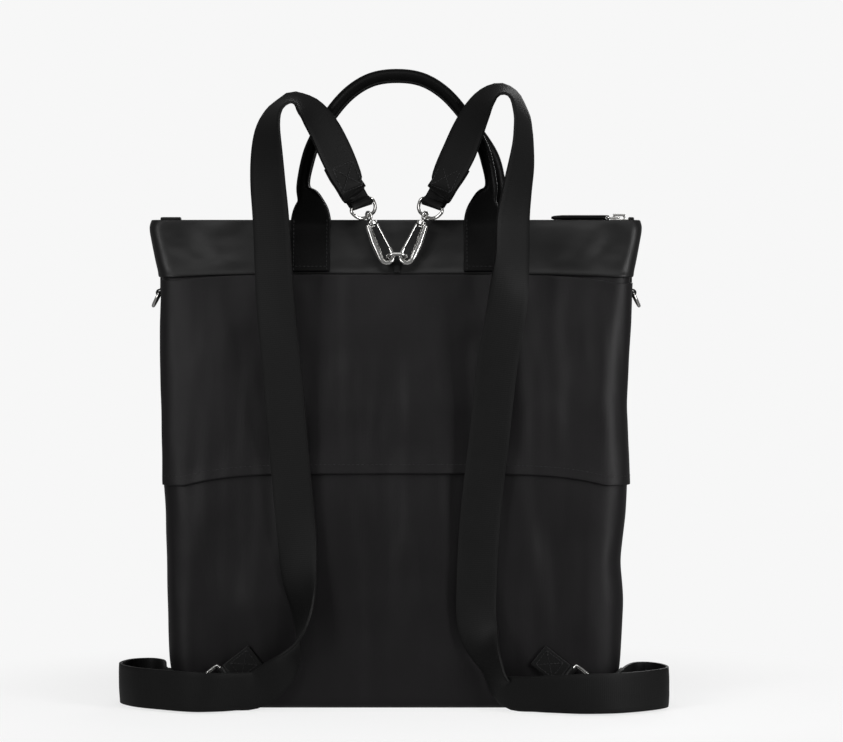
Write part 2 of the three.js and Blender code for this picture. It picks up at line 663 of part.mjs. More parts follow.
function baseRing(group, side) {
  const flatWay = vec(baseRingWay.x, 0, baseRingWay.z).normalize();
  const depth = Math.max(
    backDepth(side.sign * baseRingAcross, baseRingHeight),
    backDepth(side.sign * (baseRingAcross - tabLength), baseRingHeight + tabLength / 2),
  );
  const eye = vec(baseRingAcross, -(depth + seamGap + tabRise), baseRingHeight);
  const shape = { inside: ringInside, reach: 12.5, wire: ringWire, near: 1.6, far: 1.6 };
  const ring = piece(`base_ring_${side.name}`, wireLoop(shape), nickel);
  ring.applyMatrix4(placed(eye, baseRingWay, vec(0, -1, 0)));
  const tab = { width: tabWidth, tail: tabLength, thick: tabThick, hole: ringHole, low: -tabRise };
  const strip = piece(`base_ring_tab_${side.name}`, loopTab(tab), cloth);
  strip.applyMatrix4(placed(eye, flatWay, vec(0, -1, 0)));
  group.add(ring, strip);
  return eye.clone().addScaledVector(baseRingWay, shape.reach);
}

// Snap hook: its axis rises from the centre ring to the strap's ring
const hookWay = vec(0.4, 0.2, 0.893).normalize();
const ringWay = vec(0.545, 0.05, 0.838).normalize();
const strapTopBreadth = vec(-0.675, 0.62, 0.4).normalize();

// Where a side of the centre ring runs through the hook
const heldPoint = vec((centreRingInside + ringWire) / 2, 0, 0)
  .add(centreRingAt)
  .addScaledVector(centreRingWay, centreRingReach * 0.45);
const apex = heldPoint.clone().addScaledVector(hookWay, hookReach);

function snapHook(group, side) {
  const down = hookWay.clone().negate();
  const wireWay = centreRingWay.clone().addScaledVector(down, -centreRingWay.dot(down)).normalize();
  const shoulder = eyeBend + eyeWire / 2 + 0.8;
  const bendMiddle = hookReach - (hookBend - hookWire / 2 - ringWire / 2 - runGap);
  const place = placed(apex, down, wireWay.clone().negate());

  const eyeWay = strapTopBreadth.clone().addScaledVector(down, -strapTopBreadth.dot(down)).normalize();
  const eyeLoop = wireLoop({
    inside: 2 * eyeBend - eyeWire,
    reach: 2 * eyeBend,
    wire: eyeWire,
    near: eyeBend - 0.1,
    far: eyeBend - 0.1,
  }).translate(0, -eyeBend, 0);
  const postLength = shoulder + bossHeight + 1.6 - eyeBend;
  const post = new THREE.CylinderGeometry(postWire / 2, postWire / 2, postLength, 8)
    .translate(0, eyeBend + postLength / 2, 0);
  const head = new THREE.CylinderGeometry(headRadius, headRadius, headHeight, 8)
    .translate(0, shoulder + bossHeight + runGap + headHeight / 2, 0);
  const eye = piece(`hook_eye_${side.name}`, join(eyeLoop, post, head), nickel);
  eye.applyMatrix4(placed(apex, down, eyeWay));

  const boss = new THREE.CylinderGeometry(bossRadius, bossRadius + 0.4, bossHeight, 12)
    .translate(0, shoulder + bossHeight / 2, 0);
  const bore = new THREE.CylinderGeometry(postWire / 2 + runGap, postWire / 2 + runGap, bossHeight + 2, 8)
    .translate(0, shoulder + bossHeight / 2, 0);
  const pocketHeight = headHeight + 2 * runGap;
  const pocket = new THREE.CylinderGeometry(headRadius + runGap, headRadius + runGap, pocketHeight, 8)
    .translate(0, shoulder + bossHeight + pocketHeight / 2, 0);
  const form = cut(join(boss, hookWireForm(shoulder + bossHeight / 2, bendMiddle)), bore, pocket);
  const body = piece(`hook_body_${side.name}`, form, nickel);
  body.applyMatrix4(place);

  const gateTop = shoulder + bossHeight + runGap;
  const gateFoot = bendMiddle - hookTip - runGap;
  const gateStart = vec(-hookBend * hookNeck, gateTop, 0);
  const gateRun = vec(-hookBend, gateFoot, 0).sub(gateStart);
  const gateRod = new THREE.CylinderGeometry(gateWire / 2, gateWire / 2, gateRun.length(), 8)
    .translate(0, gateRun.length() / 2, 0)
    .applyMatrix4(placed(gateStart, gateRun, vec(0, 0, 1)));
  const gate = piece(`hook_gate_${side.name}`, gateRod, nickel);
  gate.applyMatrix4(place);
  group.add(eye, body, gate);
}

// The hook's back from the boss to the bend: along is a share of its length, spread of the bend's
// radius and width of the hook's wire
const hookBack = [
  { along: 0, spread: 0.72, width: 1.1 },
  { along: 0.2, spread: 0.83, width: 1.3 },
  { along: 0.5, spread: 1, width: 1.35 },
  { along: 0.78, spread: 1, width: 1.3 },
  { along: 1, spread: 1, width: 1.05 },
];

// The hook's back, bend and tip as one tapered wire, its back toward +X
const hookTip = 5.5;
function hookWireForm(start, bendMiddle) {
  const rows = [];
  for (const { along, spread, width } of hookBack) {
    rows.push({ x: hookBend * spread, y: mix(start, bendMiddle, along), nx: 1, ny: 0, width });
  }
  const bendSteps = 6;
  for (let i = 1; i <= bendSteps; i++) {
    const angle = (Math.PI * i) / bendSteps;
    const nx = Math.cos(angle);
    const ny = Math.sin(angle);
    rows.push({ x: hookBend * nx, y: bendMiddle + hookBend * ny, nx, ny, width: mix(1.05, 0.8, i / bendSteps) });
  }
  rows.push({ x: -hookBend, y: bendMiddle - hookTip, nx: -1, ny: 0, width: 0.7 });
  const rings = rows.map(({ x, y, nx, ny, width }) =>
    oval(vec(x, y, 0), vec(-nx, -ny, 0), vec(0, 0, 1), width * hookWire, width * hookWire * hookFlat, 8),
  );
  return loft(rings);
}

function strapRing(group, side) {
  const shape = {
    inside: ringInside,
    reach: ringReach,
    wire: ringWire,
    near: ringCorner,
    far: ringReach - ringCorner - ringFlat,
  };
  const place = placed(apex, ringWay, vec(0, 0, 0).crossVectors(ringWay, strapTopBreadth));
  const ring = piece(`strap_ring_${side.name}`, wireLoop(shape).rotateZ(Math.PI).translate(0, ringReach, 0), nickel);
  ring.applyMatrix4(place);
  group.add(ring);
  return apex.clone().addScaledVector(ringWay, ringReach);
}

// Straps
const strapTail = 8;

function breadthOf({ turn, tip }) {
  const level = Math.cos(degrees(tip));
  return vec(Math.cos(degrees(turn)) * level, Math.sin(degrees(turn)) * level, Math.sin(degrees(tip)));
}

function strapSection(centre, along, breadth, width, thick) {
  const across = breadth.clone().addScaledVector(along, -breadth.dot(along)).normalize();
  const normal = vec(0, 0, 0).crossVectors(along, across);
  const corners = [[1, 0], [0.95, 1], [-0.95, 1], [-1, 0], [-0.95, -1], [0.95, -1]];
  return corners.map(([u, v]) =>
    centre
      .clone()
      .addScaledVector(across, (u * width) / 2)
      .addScaledVector(normal, (v * thick) / 2),
  );
}

function strapGeometry(side, top, topWay, topBreadth, base, baseWay, baseBreadth) {
  const rows = strapRows[side.name].map((row) => {
    const breadth = breadthOf(row);
    const width = row.width * strapWidth;
    const rest = (width / 2) * Math.abs(breadth.z) + strapThick / 2 + floorGap;
    const z = Math.max(row.up * bagHeight, rest);
    const at = vec((row.across * bagWidth) / 2, (-row.out * bagDepth) / 2, z);
    return { at, breadth, width };
  });
  const end = (from, way, length, breadth) => ({
    at: from.clone().addScaledVector(way, length),
    breadth,
    width: strapEndWidth,
  });
  const start = [2.6, strapTail].map((length) => end(top, topWay, length, topBreadth));
  const finish = [strapTail, 2.6].map((length) => end(base, baseWay, length, baseBreadth));
  const all = [...start, ...rows, ...finish];
  const path = new THREE.CatmullRomCurve3(all.map((row) => row.at), false, "centripetal");
  const steps = (all.length - 1) * 2;
  const rings = Array.from({ length: steps + 1 }, (_, i) => {
    const here = (i / steps) * (all.length - 1);
    const row = Math.min(Math.floor(here), all.length - 2);
    const share = here - row;
    const breadth = all[row].breadth.clone().lerp(all[row + 1].breadth, share);
    const width = mix(all[row].width, all[row + 1].width, share);
    return strapSection(path.getPoint(i / steps), path.getTangent(i / steps), breadth, width, strapThick);
  });
  return loft(rings);
}

function strap(group, side, top, base) {
  const eye = {
    width: strapEndWidth,
    tail: strapTail,
    thick: strapThick * 0.8,
    hole: ringHole,
    low: -strapThick * 0.8,
  };
  const topFacing = vec(0, 0, 0).crossVectors(strapTopBreadth, ringWay).negate();
  const topEye = loopTab(eye).applyMatrix4(placed(top, ringWay.clone().negate(), topFacing));
  const baseFacing = vec(0, -1, 0);
  const baseEye = loopTab(eye).applyMatrix4(placed(base, baseRingWay.clone().negate(), baseFacing));
  const sign = side.name === "left" ? -1 : 1;
  const baseBreadth = vec(-baseRingWay.z, 0, baseRingWay.x).multiplyScalar(sign);
  const run = strapGeometry(side, top, ringWay, strapTopBreadth, base, baseRingWay, baseBreadth);
  group.add(piece(`strap_${side.name}`, join(run, topEye, baseEye), strapCloth));
}

// The whole backpack
const backpack = new THREE.Group();
backpack.add(piece("body_shell", bodyShell(), cloth));
backpack.add(piece("top_band", topBand(), cloth));
backpack.add(piece("back_sleeve", backSleeve(), cloth));
zipParts(backpack);
zipSlider(backpack);
backpack.add(piece("handle_back", handleGeometry(0), leather));
const frontHandle = piece("handle_front", handleGeometry(handleBow), leather);
frontHandle.rotation.z = Math.PI;
backpack.add(frontHandle);
centreRing(backpack);
for (const side of [{ name: "left", sign: -1 }, { name: "right", sign: 1 }]) {
  const half = new THREE.Group();
  half.scale.x = side.sign;
  sideRing(half, side);
  const base = baseRing(half, side);
  snapHook(half, side);
  const top = strapRing(half, side);
  strap(half, side, top, base);
  backpack.add(half);
}

export default backpack;
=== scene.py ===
# A soft zip-top backpack with two rolled carrying handles and two webbing shoulder straps.
# Everything is worked out in millimetres and placed in metres; the back with the straps faces -Y.
import math

import bpy
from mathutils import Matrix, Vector, noise


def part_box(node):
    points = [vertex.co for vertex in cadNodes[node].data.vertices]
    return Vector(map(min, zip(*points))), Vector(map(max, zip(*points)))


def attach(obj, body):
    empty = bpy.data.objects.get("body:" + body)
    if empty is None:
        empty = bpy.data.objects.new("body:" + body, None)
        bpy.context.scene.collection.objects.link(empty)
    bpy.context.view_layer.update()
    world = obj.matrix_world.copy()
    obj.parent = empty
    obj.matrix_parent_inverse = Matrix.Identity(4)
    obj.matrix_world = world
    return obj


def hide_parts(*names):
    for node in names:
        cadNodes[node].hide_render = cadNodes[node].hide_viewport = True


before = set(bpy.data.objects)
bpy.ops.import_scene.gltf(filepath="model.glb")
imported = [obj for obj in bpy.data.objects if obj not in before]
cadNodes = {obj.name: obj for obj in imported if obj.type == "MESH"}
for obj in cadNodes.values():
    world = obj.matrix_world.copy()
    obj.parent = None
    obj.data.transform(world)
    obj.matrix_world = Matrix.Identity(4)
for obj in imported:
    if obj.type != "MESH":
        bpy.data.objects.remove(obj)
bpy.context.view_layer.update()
mm = 0.001


# Small helpers

def mix(a, b, t):
    return a + (b - a) * t


def clamp(value, low=0.0, high=1.0):
    return max(low, min(high, value))


def smooth(low, high, value):
    t = clamp((value - low) / (high - low))
    return t * t * (3 - 2 * t)


def hill(value, middle, width):
    return math.exp(-(((value - middle) / width) ** 2))


def deselect():
    bpy.ops.object.select_all(action="DESELECT")


def pick(obj):
    deselect()
    obj.select_set(True)
    bpy.context.view_layer.objects.active = obj
    return obj


def useModifier(obj, kind, **settings):
    pick(obj)
    modifier = obj.modifiers.new(kind.lower(), kind)
    for key, value in settings.items():
        setattr(modifier, key, value)
    bpy.ops.object.modifier_apply(modifier=modifier.name)
    return obj


def useSubdivision(obj, levels):
    return useModifier(obj, "SUBSURF", levels=levels, render_levels=levels)


def mergeDoubles(obj, distance=0.00002):
    pick(obj)
    bpy.ops.object.mode_set(mode="EDIT")
    bpy.ops.mesh.select_all(action="SELECT")
    bpy.ops.mesh.remove_doubles(threshold=distance)
    bpy.ops.mesh.normals_make_consistent(inside=False)
    bpy.ops.object.mode_set(mode="OBJECT")
    return obj


def shadeSmooth(obj, angle=None):
    pick(obj)
    if angle is None:
        bpy.ops.object.shade_smooth()
    else:
        bpy.ops.object.shade_smooth_by_angle(angle=math.radians(angle))
    return obj


def joinPieces(name, pieces):
    deselect()
    for one in pieces:
        one.select_set(True)
    bpy.context.view_layer.objects.active = pieces[0]
    bpy.ops.object.join()
    joined = bpy.context.object
    joined.name = name
    joined.data.name = name
    return joined


# A finished piece stands for its solid and moves with its body
def settle(obj, node, body="backpack"):
    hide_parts(node)
    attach(obj, body)
    return obj


# A flat grid bent to its place. place(u, v) takes shares across and along and gives millimetres.
# Its UV map holds millimetres across and along, so that a weave keeps its real size.
def clothGrid(name, columns, rows, place, flat):
    deselect()
    bpy.ops.mesh.primitive_grid_add(x_subdivisions=columns, y_subdivisions=rows, size=1, calc_uvs=True)
    obj = bpy.context.object
    obj.name = name
    obj.data.name = name
    for vert in obj.data.vertices:
        vert.co = place(vert.co.x + 0.5, vert.co.y + 0.5) * mm
    for corner in obj.data.uv_layers.active.data:
        corner.uv = (corner.uv.x * flat[0], corner.uv.y * flat[1])
    return obj


# A row of values eased through its neighbours, so that the cloth has no creases at the rows
def eased(rows, share):
    last = len(rows) - 1
    at = clamp(share, 0, 1) * last
    i = min(int(at), last - 1)
    t = at - i
    p0, p1, p2, p3 = rows[max(i - 1, 0)], rows[i], rows[i + 1], rows[min(i + 2, last)]
    t2, t3 = t * t, t * t * t
    return [
        0.5 * (2 * b + (c - a) * t + (2 * a - 5 * b + 4 * c - d) * t2 + (3 * b - a - 3 * c + d) * t3)
        for a, b, c, d in zip(p0, p1, p2, p3)
    ]


# Materials: the pattern sizes in the looks are in millimetres

def hexColor(code):
    parts = [int(code[i:i + 2], 16) / 255 for i in (1, 3, 5)]
    linear = [c / 12.92 if c <= 0.04045 else ((c + 0.055) / 1.055) ** 2.4 for c in parts]
    return (*linear, 1)


# Adds a node, sets or links its inputs, and gives back one of its outputs
def addNode(tree, kind, inputs=None, out=0, **settings):
    made = tree.nodes.new(kind)
    for key, value in settings.items():
        setattr(made, key, value)
    for key, value in (inputs or {}).items():
        if isinstance(value, bpy.types.NodeSocket):
            tree.links.new(value, made.inputs[key])
        else:
            made.inputs[key].default_value = value
    return made.outputs[out] if len(made.outputs) else made


# A new material with a principled shader: fixed values are set on its sockets, the rest is linked later
def startMaterial(name, values):
    material = bpy.data.materials.new(name)
    material.use_nodes = True
    tree = material.node_tree
    tree.nodes.clear()
    surface = addNode(tree, "ShaderNodeBsdfPrincipled", values)
    addNode(tree, "ShaderNodeOutputMaterial", {"Surface": surface})
    return material, tree, surface.node


# The colour runs from a look's dark to its light by the tone; the other values go to the sockets they name
def finishLook(tree, shader, look, tone, **worked):
    colors = {0: tone, 6: hexColor(look["dark"]), 7: hexColor(look["light"])}
    worked["Base Color"] = addNode(tree, "ShaderNodeMix", colors, 2, data_type="RGBA")
    for key, value in worked.items():
        tree.links.new(value, shader.inputs[key])


# Packcloth nylon, plain-woven and lightly coated: near black, a soft sheen where it turns to the
# light, slack enough to ripple. weave is coarser than the real 0.35 mm so that it shows.
packcloth = {
    "body": {
        "dark": "#050405", "light": "#0f0d0f", "rough": 0.5, "sheen": 0.04, "gloss": 0.22,
        "weave": 1.0, "grain": 0.3, "cloud": 90, "ripple": (48, 48, 200), "soft": 0.9,
    },
    "band": {
        "dark": "#070707", "light": "#111111", "rough": 0.42, "sheen": 0.04, "gloss": 0.28,
        "weave": 0.8, "grain": 0.18, "cloud": 60, "ripple": (70, 60, 34), "soft": 0.6,
    },
    "tab": {
        "dark": "#070707", "light": "#0f0f0f", "rough": 0.5, "sheen": 0.03, "gloss": 0.2,
        "weave": 0.7, "grain": 0.24, "cloud": 20, "ripple": (20, 20, 20), "soft": 0.1,
    },
}


def makePackcloth(key):
    look = packcloth[key]
    material, tree, shader = startMaterial("packcloth_" + key, {
        "Sheen Weight": look["sheen"], "Sheen Roughness": 0.45, "Specular IOR Level": look["gloss"], "IOR": 1.5,
    })
    place = addNode(tree, "ShaderNodeTexCoord", out="Object")
    threads = addNode(tree, "ShaderNodeUVMap", uv_map="UVMap")
    cloud = addNode(tree, "ShaderNodeTexNoise", {
        "Vector": place, "Scale": 1000 / look["cloud"], "Detail": 4, "Roughness": 0.55,
    })
    fleck = addNode(tree, "ShaderNodeTexNoise", {"Vector": place, "Scale": 900, "Detail": 2, "Roughness": 0.6})
    spacing = math.pi / 10 / look["weave"]
    warp = addNode(tree, "ShaderNodeTexWave", {"Vector": threads, "Scale": spacing}, "Fac", bands_direction="X")
    weft = addNode(tree, "ShaderNodeTexWave", {"Vector": threads, "Scale": spacing}, "Fac", bands_direction="Y")
    woven = addNode(tree, "ShaderNodeMath", {0: warp, 1: weft}, operation="MAXIMUM")
    flecked = addNode(tree, "ShaderNodeMath", {0: fleck, 1: 0.15, 2: -0.12}, operation="MULTIPLY_ADD")
    tone = addNode(tree, "ShaderNodeMath", {0: cloud, 1: 0.95, 2: flecked}, operation="MULTIPLY_ADD", use_clamp=True)
    rough = addNode(tree, "ShaderNodeMath", {0: cloud, 1: 0.16, 2: look["rough"] - 0.08}, operation="MULTIPLY_ADD")
    across, back, up = look["ripple"]
    slack = addNode(tree, "ShaderNodeMapping", {
        "Vector": place, "Scale": (1000 / across, 1000 / back, 1000 / up),
    })
    ripple = addNode(tree, "ShaderNodeTexNoise", {"Vector": slack, "Scale": 1, "Detail": 2, "Roughness": 0.45})
    soft = addNode(tree, "ShaderNodeBump", {"Height": ripple, "Strength": look["soft"], "Distance": 0.008})
    normal = addNode(tree, "ShaderNodeBump", {
        "Height": woven, "Strength": look["grain"], "Distance": 0.0001, "Normal": soft,
    })
    finishLook(tree, shader, look, tone, Roughness=rough, Normal=normal)
    return material


# Nylon webbing, close-woven in ribs across its length: dull black, with a bound edge on each side
webbing = {
    "dark": "#050505", "light": "#0f0f0f", "rough": 0.58, "rib": 1.5, "wale": 2.4, "edge": 1.3,
    "width": 29, "cloud": 33,
}


def makeWebbing():
    material, tree, shader = startMaterial("woven_webbing", {
        "Sheen Weight": 0.02, "Sheen Roughness": 0.4, "Specular IOR Level": 0.16, "IOR": 1.5,
    })
    place = addNode(tree, "ShaderNodeTexCoord", out="Object")
    threads = addNode(tree, "ShaderNodeUVMap", uv_map="UVMap")
    cloud = addNode(tree, "ShaderNodeTexNoise", {
        "Vector": place, "Scale": 1000 / webbing["cloud"], "Detail": 3, "Roughness": 0.6,
    })
    ribs = addNode(tree, "ShaderNodeTexWave", {
        "Vector": threads, "Scale": math.pi / 10 / webbing["rib"],
    }, "Fac", bands_direction="Y")
    wales = addNode(tree, "ShaderNodeTexWave", {
        "Vector": threads, "Scale": math.pi / 10 / webbing["wale"],
    }, "Fac", bands_direction="X")
    half = webbing["width"] / 2
    across = addNode(tree, "ShaderNodeSeparateXYZ", {0: threads})
    centred = addNode(tree, "ShaderNodeMath", {0: across, 1: half}, operation="SUBTRACT")
    aside = addNode(tree, "ShaderNodeMath", {0: centred}, operation="ABSOLUTE")
    inside = addNode(tree, "ShaderNodeMath", {0: aside, 1: half - webbing["edge"]}, operation="LESS_THAN")
    ribTone = addNode(tree, "ShaderNodeMath", {0: ribs, 1: 0.25, 2: -0.05}, operation="MULTIPLY_ADD")
    clouded = addNode(tree, "ShaderNodeMath", {0: cloud, 1: 0.7, 2: ribTone}, operation="MULTIPLY_ADD")
    bound = addNode(tree, "ShaderNodeMath", {0: inside, 1: 0.25, 2: -0.25}, operation="MULTIPLY_ADD")
    tone = addNode(tree, "ShaderNodeMath", {0: clouded, 1: bound}, operation="ADD", use_clamp=True)
    rough = addNode(tree, "ShaderNodeMath", {0: cloud, 1: 0.15, 2: webbing["rough"] - 0.07}, operation="MULTIPLY_ADD")
    wale = addNode(tree, "ShaderNodeMath", {0: wales, 1: 0.4, 2: ribs}, operation="MULTIPLY_ADD")
    weave = addNode(tree, "ShaderNodeMath", {0: wale, 1: inside}, operation="MULTIPLY")
    normal = addNode(tree, "ShaderNodeBump", {"Height": weave, "Strength": 0.35, "Distance": 0.0001})
    finishLook(tree, shader, webbing, tone, Roughness=rough, Normal=normal)
    return material


# Full-grain leather with a matt finish: black, a fine pebbled grain, soft highlights on the rolled tube
leather = {"dark": "#020202", "light": "#070707", "rough": 0.44, "pebble": 0.9, "cloud": 20, "crease": 3}


def makeLeather():
    material, tree, shader = startMaterial("grained_leather", {"Specular IOR Level": 0.09, "IOR": 1.5})
    place = addNode(tree, "ShaderNodeTexCoord", out="Object")
    pebbles = addNode(tree, "ShaderNodeTexVoronoi", {
        "Vector": place, "Scale": 1000 / leather["pebble"], "Smoothness": 0.7,
    }, feature="SMOOTH_F1")
    cloud = addNode(tree, "ShaderNodeTexNoise", {
        "Vector": place, "Scale": 1000 / leather["cloud"], "Detail": 4, "Roughness": 0.6,
    })
    creases = addNode(tree, "ShaderNodeTexNoise", {"Vector": place, "Scale": 1000 / leather["crease"], "Detail": 3})
    worn = addNode(tree, "ShaderNodeMath", {0: pebbles, 1: 0.25, 2: 0.0}, operation="MULTIPLY_ADD")
    tone = addNode(tree, "ShaderNodeMath", {0: cloud, 1: 0.8, 2: worn}, operation="MULTIPLY_ADD", use_clamp=True)
    rough = addNode(tree, "ShaderNodeMath", {0: cloud, 1: 0.14, 2: leather["rough"] - 0.07}, operation="MULTIPLY_ADD")
    height = addNode(tree, "ShaderNodeMath", {0: creases, 1: 1.3, 2: pebbles}, operation="MULTIPLY_ADD")
    normal = addNode(tree, "ShaderNodeBump", {"Height": height, "Strength": 0.25, "Distance": 0.0002})
    finishLook(tree, shader, leather, tone, Roughness=rough, Normal=normal)
    return material


# Zinc alloy, die-cast, polished and nickel-plated: bright, with a little haze and faint scratches
nickel = {"dark": "#b9b8b5", "light": "#dedddb", "rough": 0.17, "haze": 4, "scratch": 0.45}


def makeNickel():
    material, tree, shader = startMaterial("nickel_plated_zinc", {"Metallic": 1.0})
    place = addNode(tree, "ShaderNodeTexCoord", out="Object")
    haze = addNode(tree, "ShaderNodeTexNoise", {
        "Vector": place, "Scale": 1000 / nickel["haze"], "Detail": 5, "Roughness": 0.65,
    })
    scratches = addNode(tree, "ShaderNodeTexNoise", {
        "Vector": place, "Scale": 1000 / nickel["scratch"], "Detail": 6, "Roughness": 0.75, "Distortion": 1.2,
    })
    rough = addNode(tree, "ShaderNodeMath", {0: scratches, 1: 0.14, 2: nickel["rough"] - 0.06}, operation="MULTIPLY_ADD")
    normal = addNode(tree, "ShaderNodeBump", {"Height": scratches, "Strength": 0.05, "Distance": 0.0001})
    finishLook(tree, shader, nickel, haze, Roughness=rough, Normal=normal)
    return material


# Polyester zip tape, woven in a fine slanting rib that keeps it dull
zipTape = {"dark": "#0a0a0a", "light": "#151515", "rough": 0.6, "rib": 1.4, "fleck": 1.7}


def makeZipTape():
    material, tree, shader = startMaterial("woven_zip_tape", {
        "Sheen Weight": 0.05, "Specular IOR Level": 0.25, "IOR": 1.5,
    })
    place = addNode(tree, "ShaderNodeTexCoord", out="Object")
    slant = addNode(tree, "ShaderNodeMapping", {
        "Vector": place, "Rotation": (0, 0, math.radians(45)), "Scale": (1000, 1000, 1000),
    })
    lines = addNode(tree, "ShaderNodeTexWave", {"Vector": slant, "Scale": math.pi / 10 / zipTape["rib"]}, "Fac")
    fleck = addNode(tree, "ShaderNodeTexNoise", {"Vector": place, "Scale": 1000 / zipTape["fleck"], "Detail": 3})
    rough = addNode(tree, "ShaderNodeMath", {0: fleck, 1: 0.15, 2: zipTape["rough"] - 0.07}, operation="MULTIPLY_ADD")
    normal = addNode(tree, "ShaderNodeBump", {"Height": lines, "Strength": 0.4, "Distance": 0.0001})
    finishLook(tree, shader, zipTape, fleck, Roughness=rough, Normal=normal)
    return material


# Moulded nylon zip teeth: harder and a little glossier than the tape
zipTeeth = {"dark": "#131314", "light": "#1d1d1e", "rough": 0.38, "fleck": 0.7}
# Bonded polyester sewing thread: twisted, as dark as the cloth round it and a touch glossier
thread = {"dark": "#0c0c0d", "light": "#1b1b1c", "rough": 0.42, "fleck": 0.4}


def makePlastic(name, look, values):
    material, tree, shader = startMaterial(name, values)
    place = addNode(tree, "ShaderNodeTexCoord", out="Object")
    fleck = addNode(tree, "ShaderNodeTexNoise", {"Vector": place, "Scale": 1000 / look["fleck"], "Detail": 3})
    rough = addNode(tree, "ShaderNodeMath", {0: fleck, 1: 0.16, 2: look["rough"] - 0.08}, operation="MULTIPLY_ADD")
    finishLook(tree, shader, look, fleck, Roughness=rough)
    return material


looks = {
    "body": makePackcloth("body"),
    "band": makePackcloth("band"),
    "tab": makePackcloth("tab"),
    "webbing": makeWebbing(),
    "leather": makeLeather(),
    "nickel": makeNickel(),
    "tape": makeZipTape(),
    "teeth": makePlastic("moulded_nylon_teeth", zipTeeth, {"Specular IOR Level": 0.5, "IOR": 1.53}),
    "thread": makePlastic("bonded_thread", thread, {"Sheen Weight": 0.05, "Specular IOR Level": 0.35, "IOR": 1.5}),
}
print("materials made:", len(looks))


# The bag's form

bag = {
    "height": 353, "width": 340, "depth": 114, "wall": 2, "baseEdge": 5,
    "gap": 0.35, "panel": 1.6, "bandHeight": 37.5, "bandDip": 2.5, "bandLip": 1.5,
    "sleeveShare": 0.4845, "sleeveDip": 9, "sleeveTuck": 1.2,
}
# Rows up the bag: height as a share of the bag's, then the left and right half widths, the depth,
# the belly, the corner radius and the side fold, as shares of half the width or of half the depth
bagRows = [
    (0.014, 0.95, 0.94, 0.965, 0, 0.28, 0),
    (0.1, 0.978, 0.962, 1, 0.02, 0.3, 0),
    (0.22, 0.986, 0.973, 1, 0.05, 0.3, 0.02),
    (0.3, 0.988, 0.96, 0.985, 0.06, 0.3, 0.04),
    (0.4, 0.991, 0.983, 0.95, 0.06, 0.3, 0.06),
    (0.465, 1.003, 0.99, 0.92, 0.05, 0.28, 0.08),
    (0.62, 1.01, 0.981, 0.81, 0.05, 0.26, 0.1),
    (0.79, 1.016, 0.998, 0.62, 0.03, 0.22, 0.08),
    (0.88, 1.01, 1.002, 0.48, 0.02, 0.18, 0.04),
    (0.91, 1.026, 1.018, 0.41, 0.02, 0.16, 0.03),
    (0.945, 1.042, 1.032, 0.34, 0.01, 0.14, 0.02),
    (0.99, 1.061, 1.05, 0.27, 0, 0.12, 0.01),
    (1, 1.052, 1.042, 0.25, 0, 0.12, 0.01),
]
rowHeights = [row[0] * bag["height"] for row in bagRows]


def bagSizes(z):
    i = next((k for k, height in enumerate(rowHeights) if height > z), len(rowHeights) - 1)
    i = max(i, 1)
    t = clamp((z - rowHeights[i - 1]) / (rowHeights[i] - rowHeights[i - 1]))
    before, after = bagRows[i - 1], bagRows[i]
    wide, deep = bag["width"] / 2, bag["depth"] / 2
    scales = (wide, wide, deep, deep, deep, deep)
    return [mix(a, b, t) * scale for a, b, scale in zip(before[1:], after[1:], scales)]


# Sizes smoothed over a stretch of height, so that no crease shows at a row
def easySizes(z, reach=5):
    low, high = rowHeights[0], rowHeights[-1]
    reach = min(reach, max(high - z, 0.5), max(z, 0.5))
    samples = [bagSizes(clamp(z + reach * k / 2, low, high)) for k in (-2, -1, 0, 1, 2)]
    return [sum(s[i] * w for s, w in zip(samples, (1, 2, 3, 2, 1))) / 9 for i in range(6)]


# A place on the outline: along runs 0 to 4 over the back, right side, front and left side, each
# with a straight stretch and then its corner
def outlinePlace(along, stretch):
    quarter = int(along) % 4
    share = along - int(along)
    facing = (quarter - 1) * math.pi / 2
    nx, ny = round(math.cos(facing)), round(math.sin(facing))
    straight = stretch[quarter % 2]
    if share <= straight:
        t = mix(-1, 1, share / straight)
        return (-ny * t if ny else nx, nx * t if nx else ny, nx, ny)
    angle = facing + (share - straight) / (1 - straight) * math.pi / 2
    cx = math.copysign(1, math.cos(facing + math.pi / 4))
    cy = math.copysign(1, math.sin(facing + math.pi / 4))
    return (cx, cy, math.cos(angle), math.sin(angle))


def onBag(spot, z, offset):
    cx, cy, nx, ny = spot
    left, right, deep, belly, rounding, fold = easySizes(z)
    half = left if cx < 0 else right
    folded = nx * fold * (1 - cy * cy) ** 2
    bellied = ny * belly * (1 - cx * cx)
    return Vector((
        cx * (half - rounding) + (rounding + offset) * nx - folded,
        cy * (deep - rounding) + (rounding + offset) * ny + bellied,
        z,
    ))


bandFoot = bag["height"] - bag["bandHeight"]


def bandFootAt(cx):
    return bandFoot - bag["bandDip"] * abs(cx) ** 5


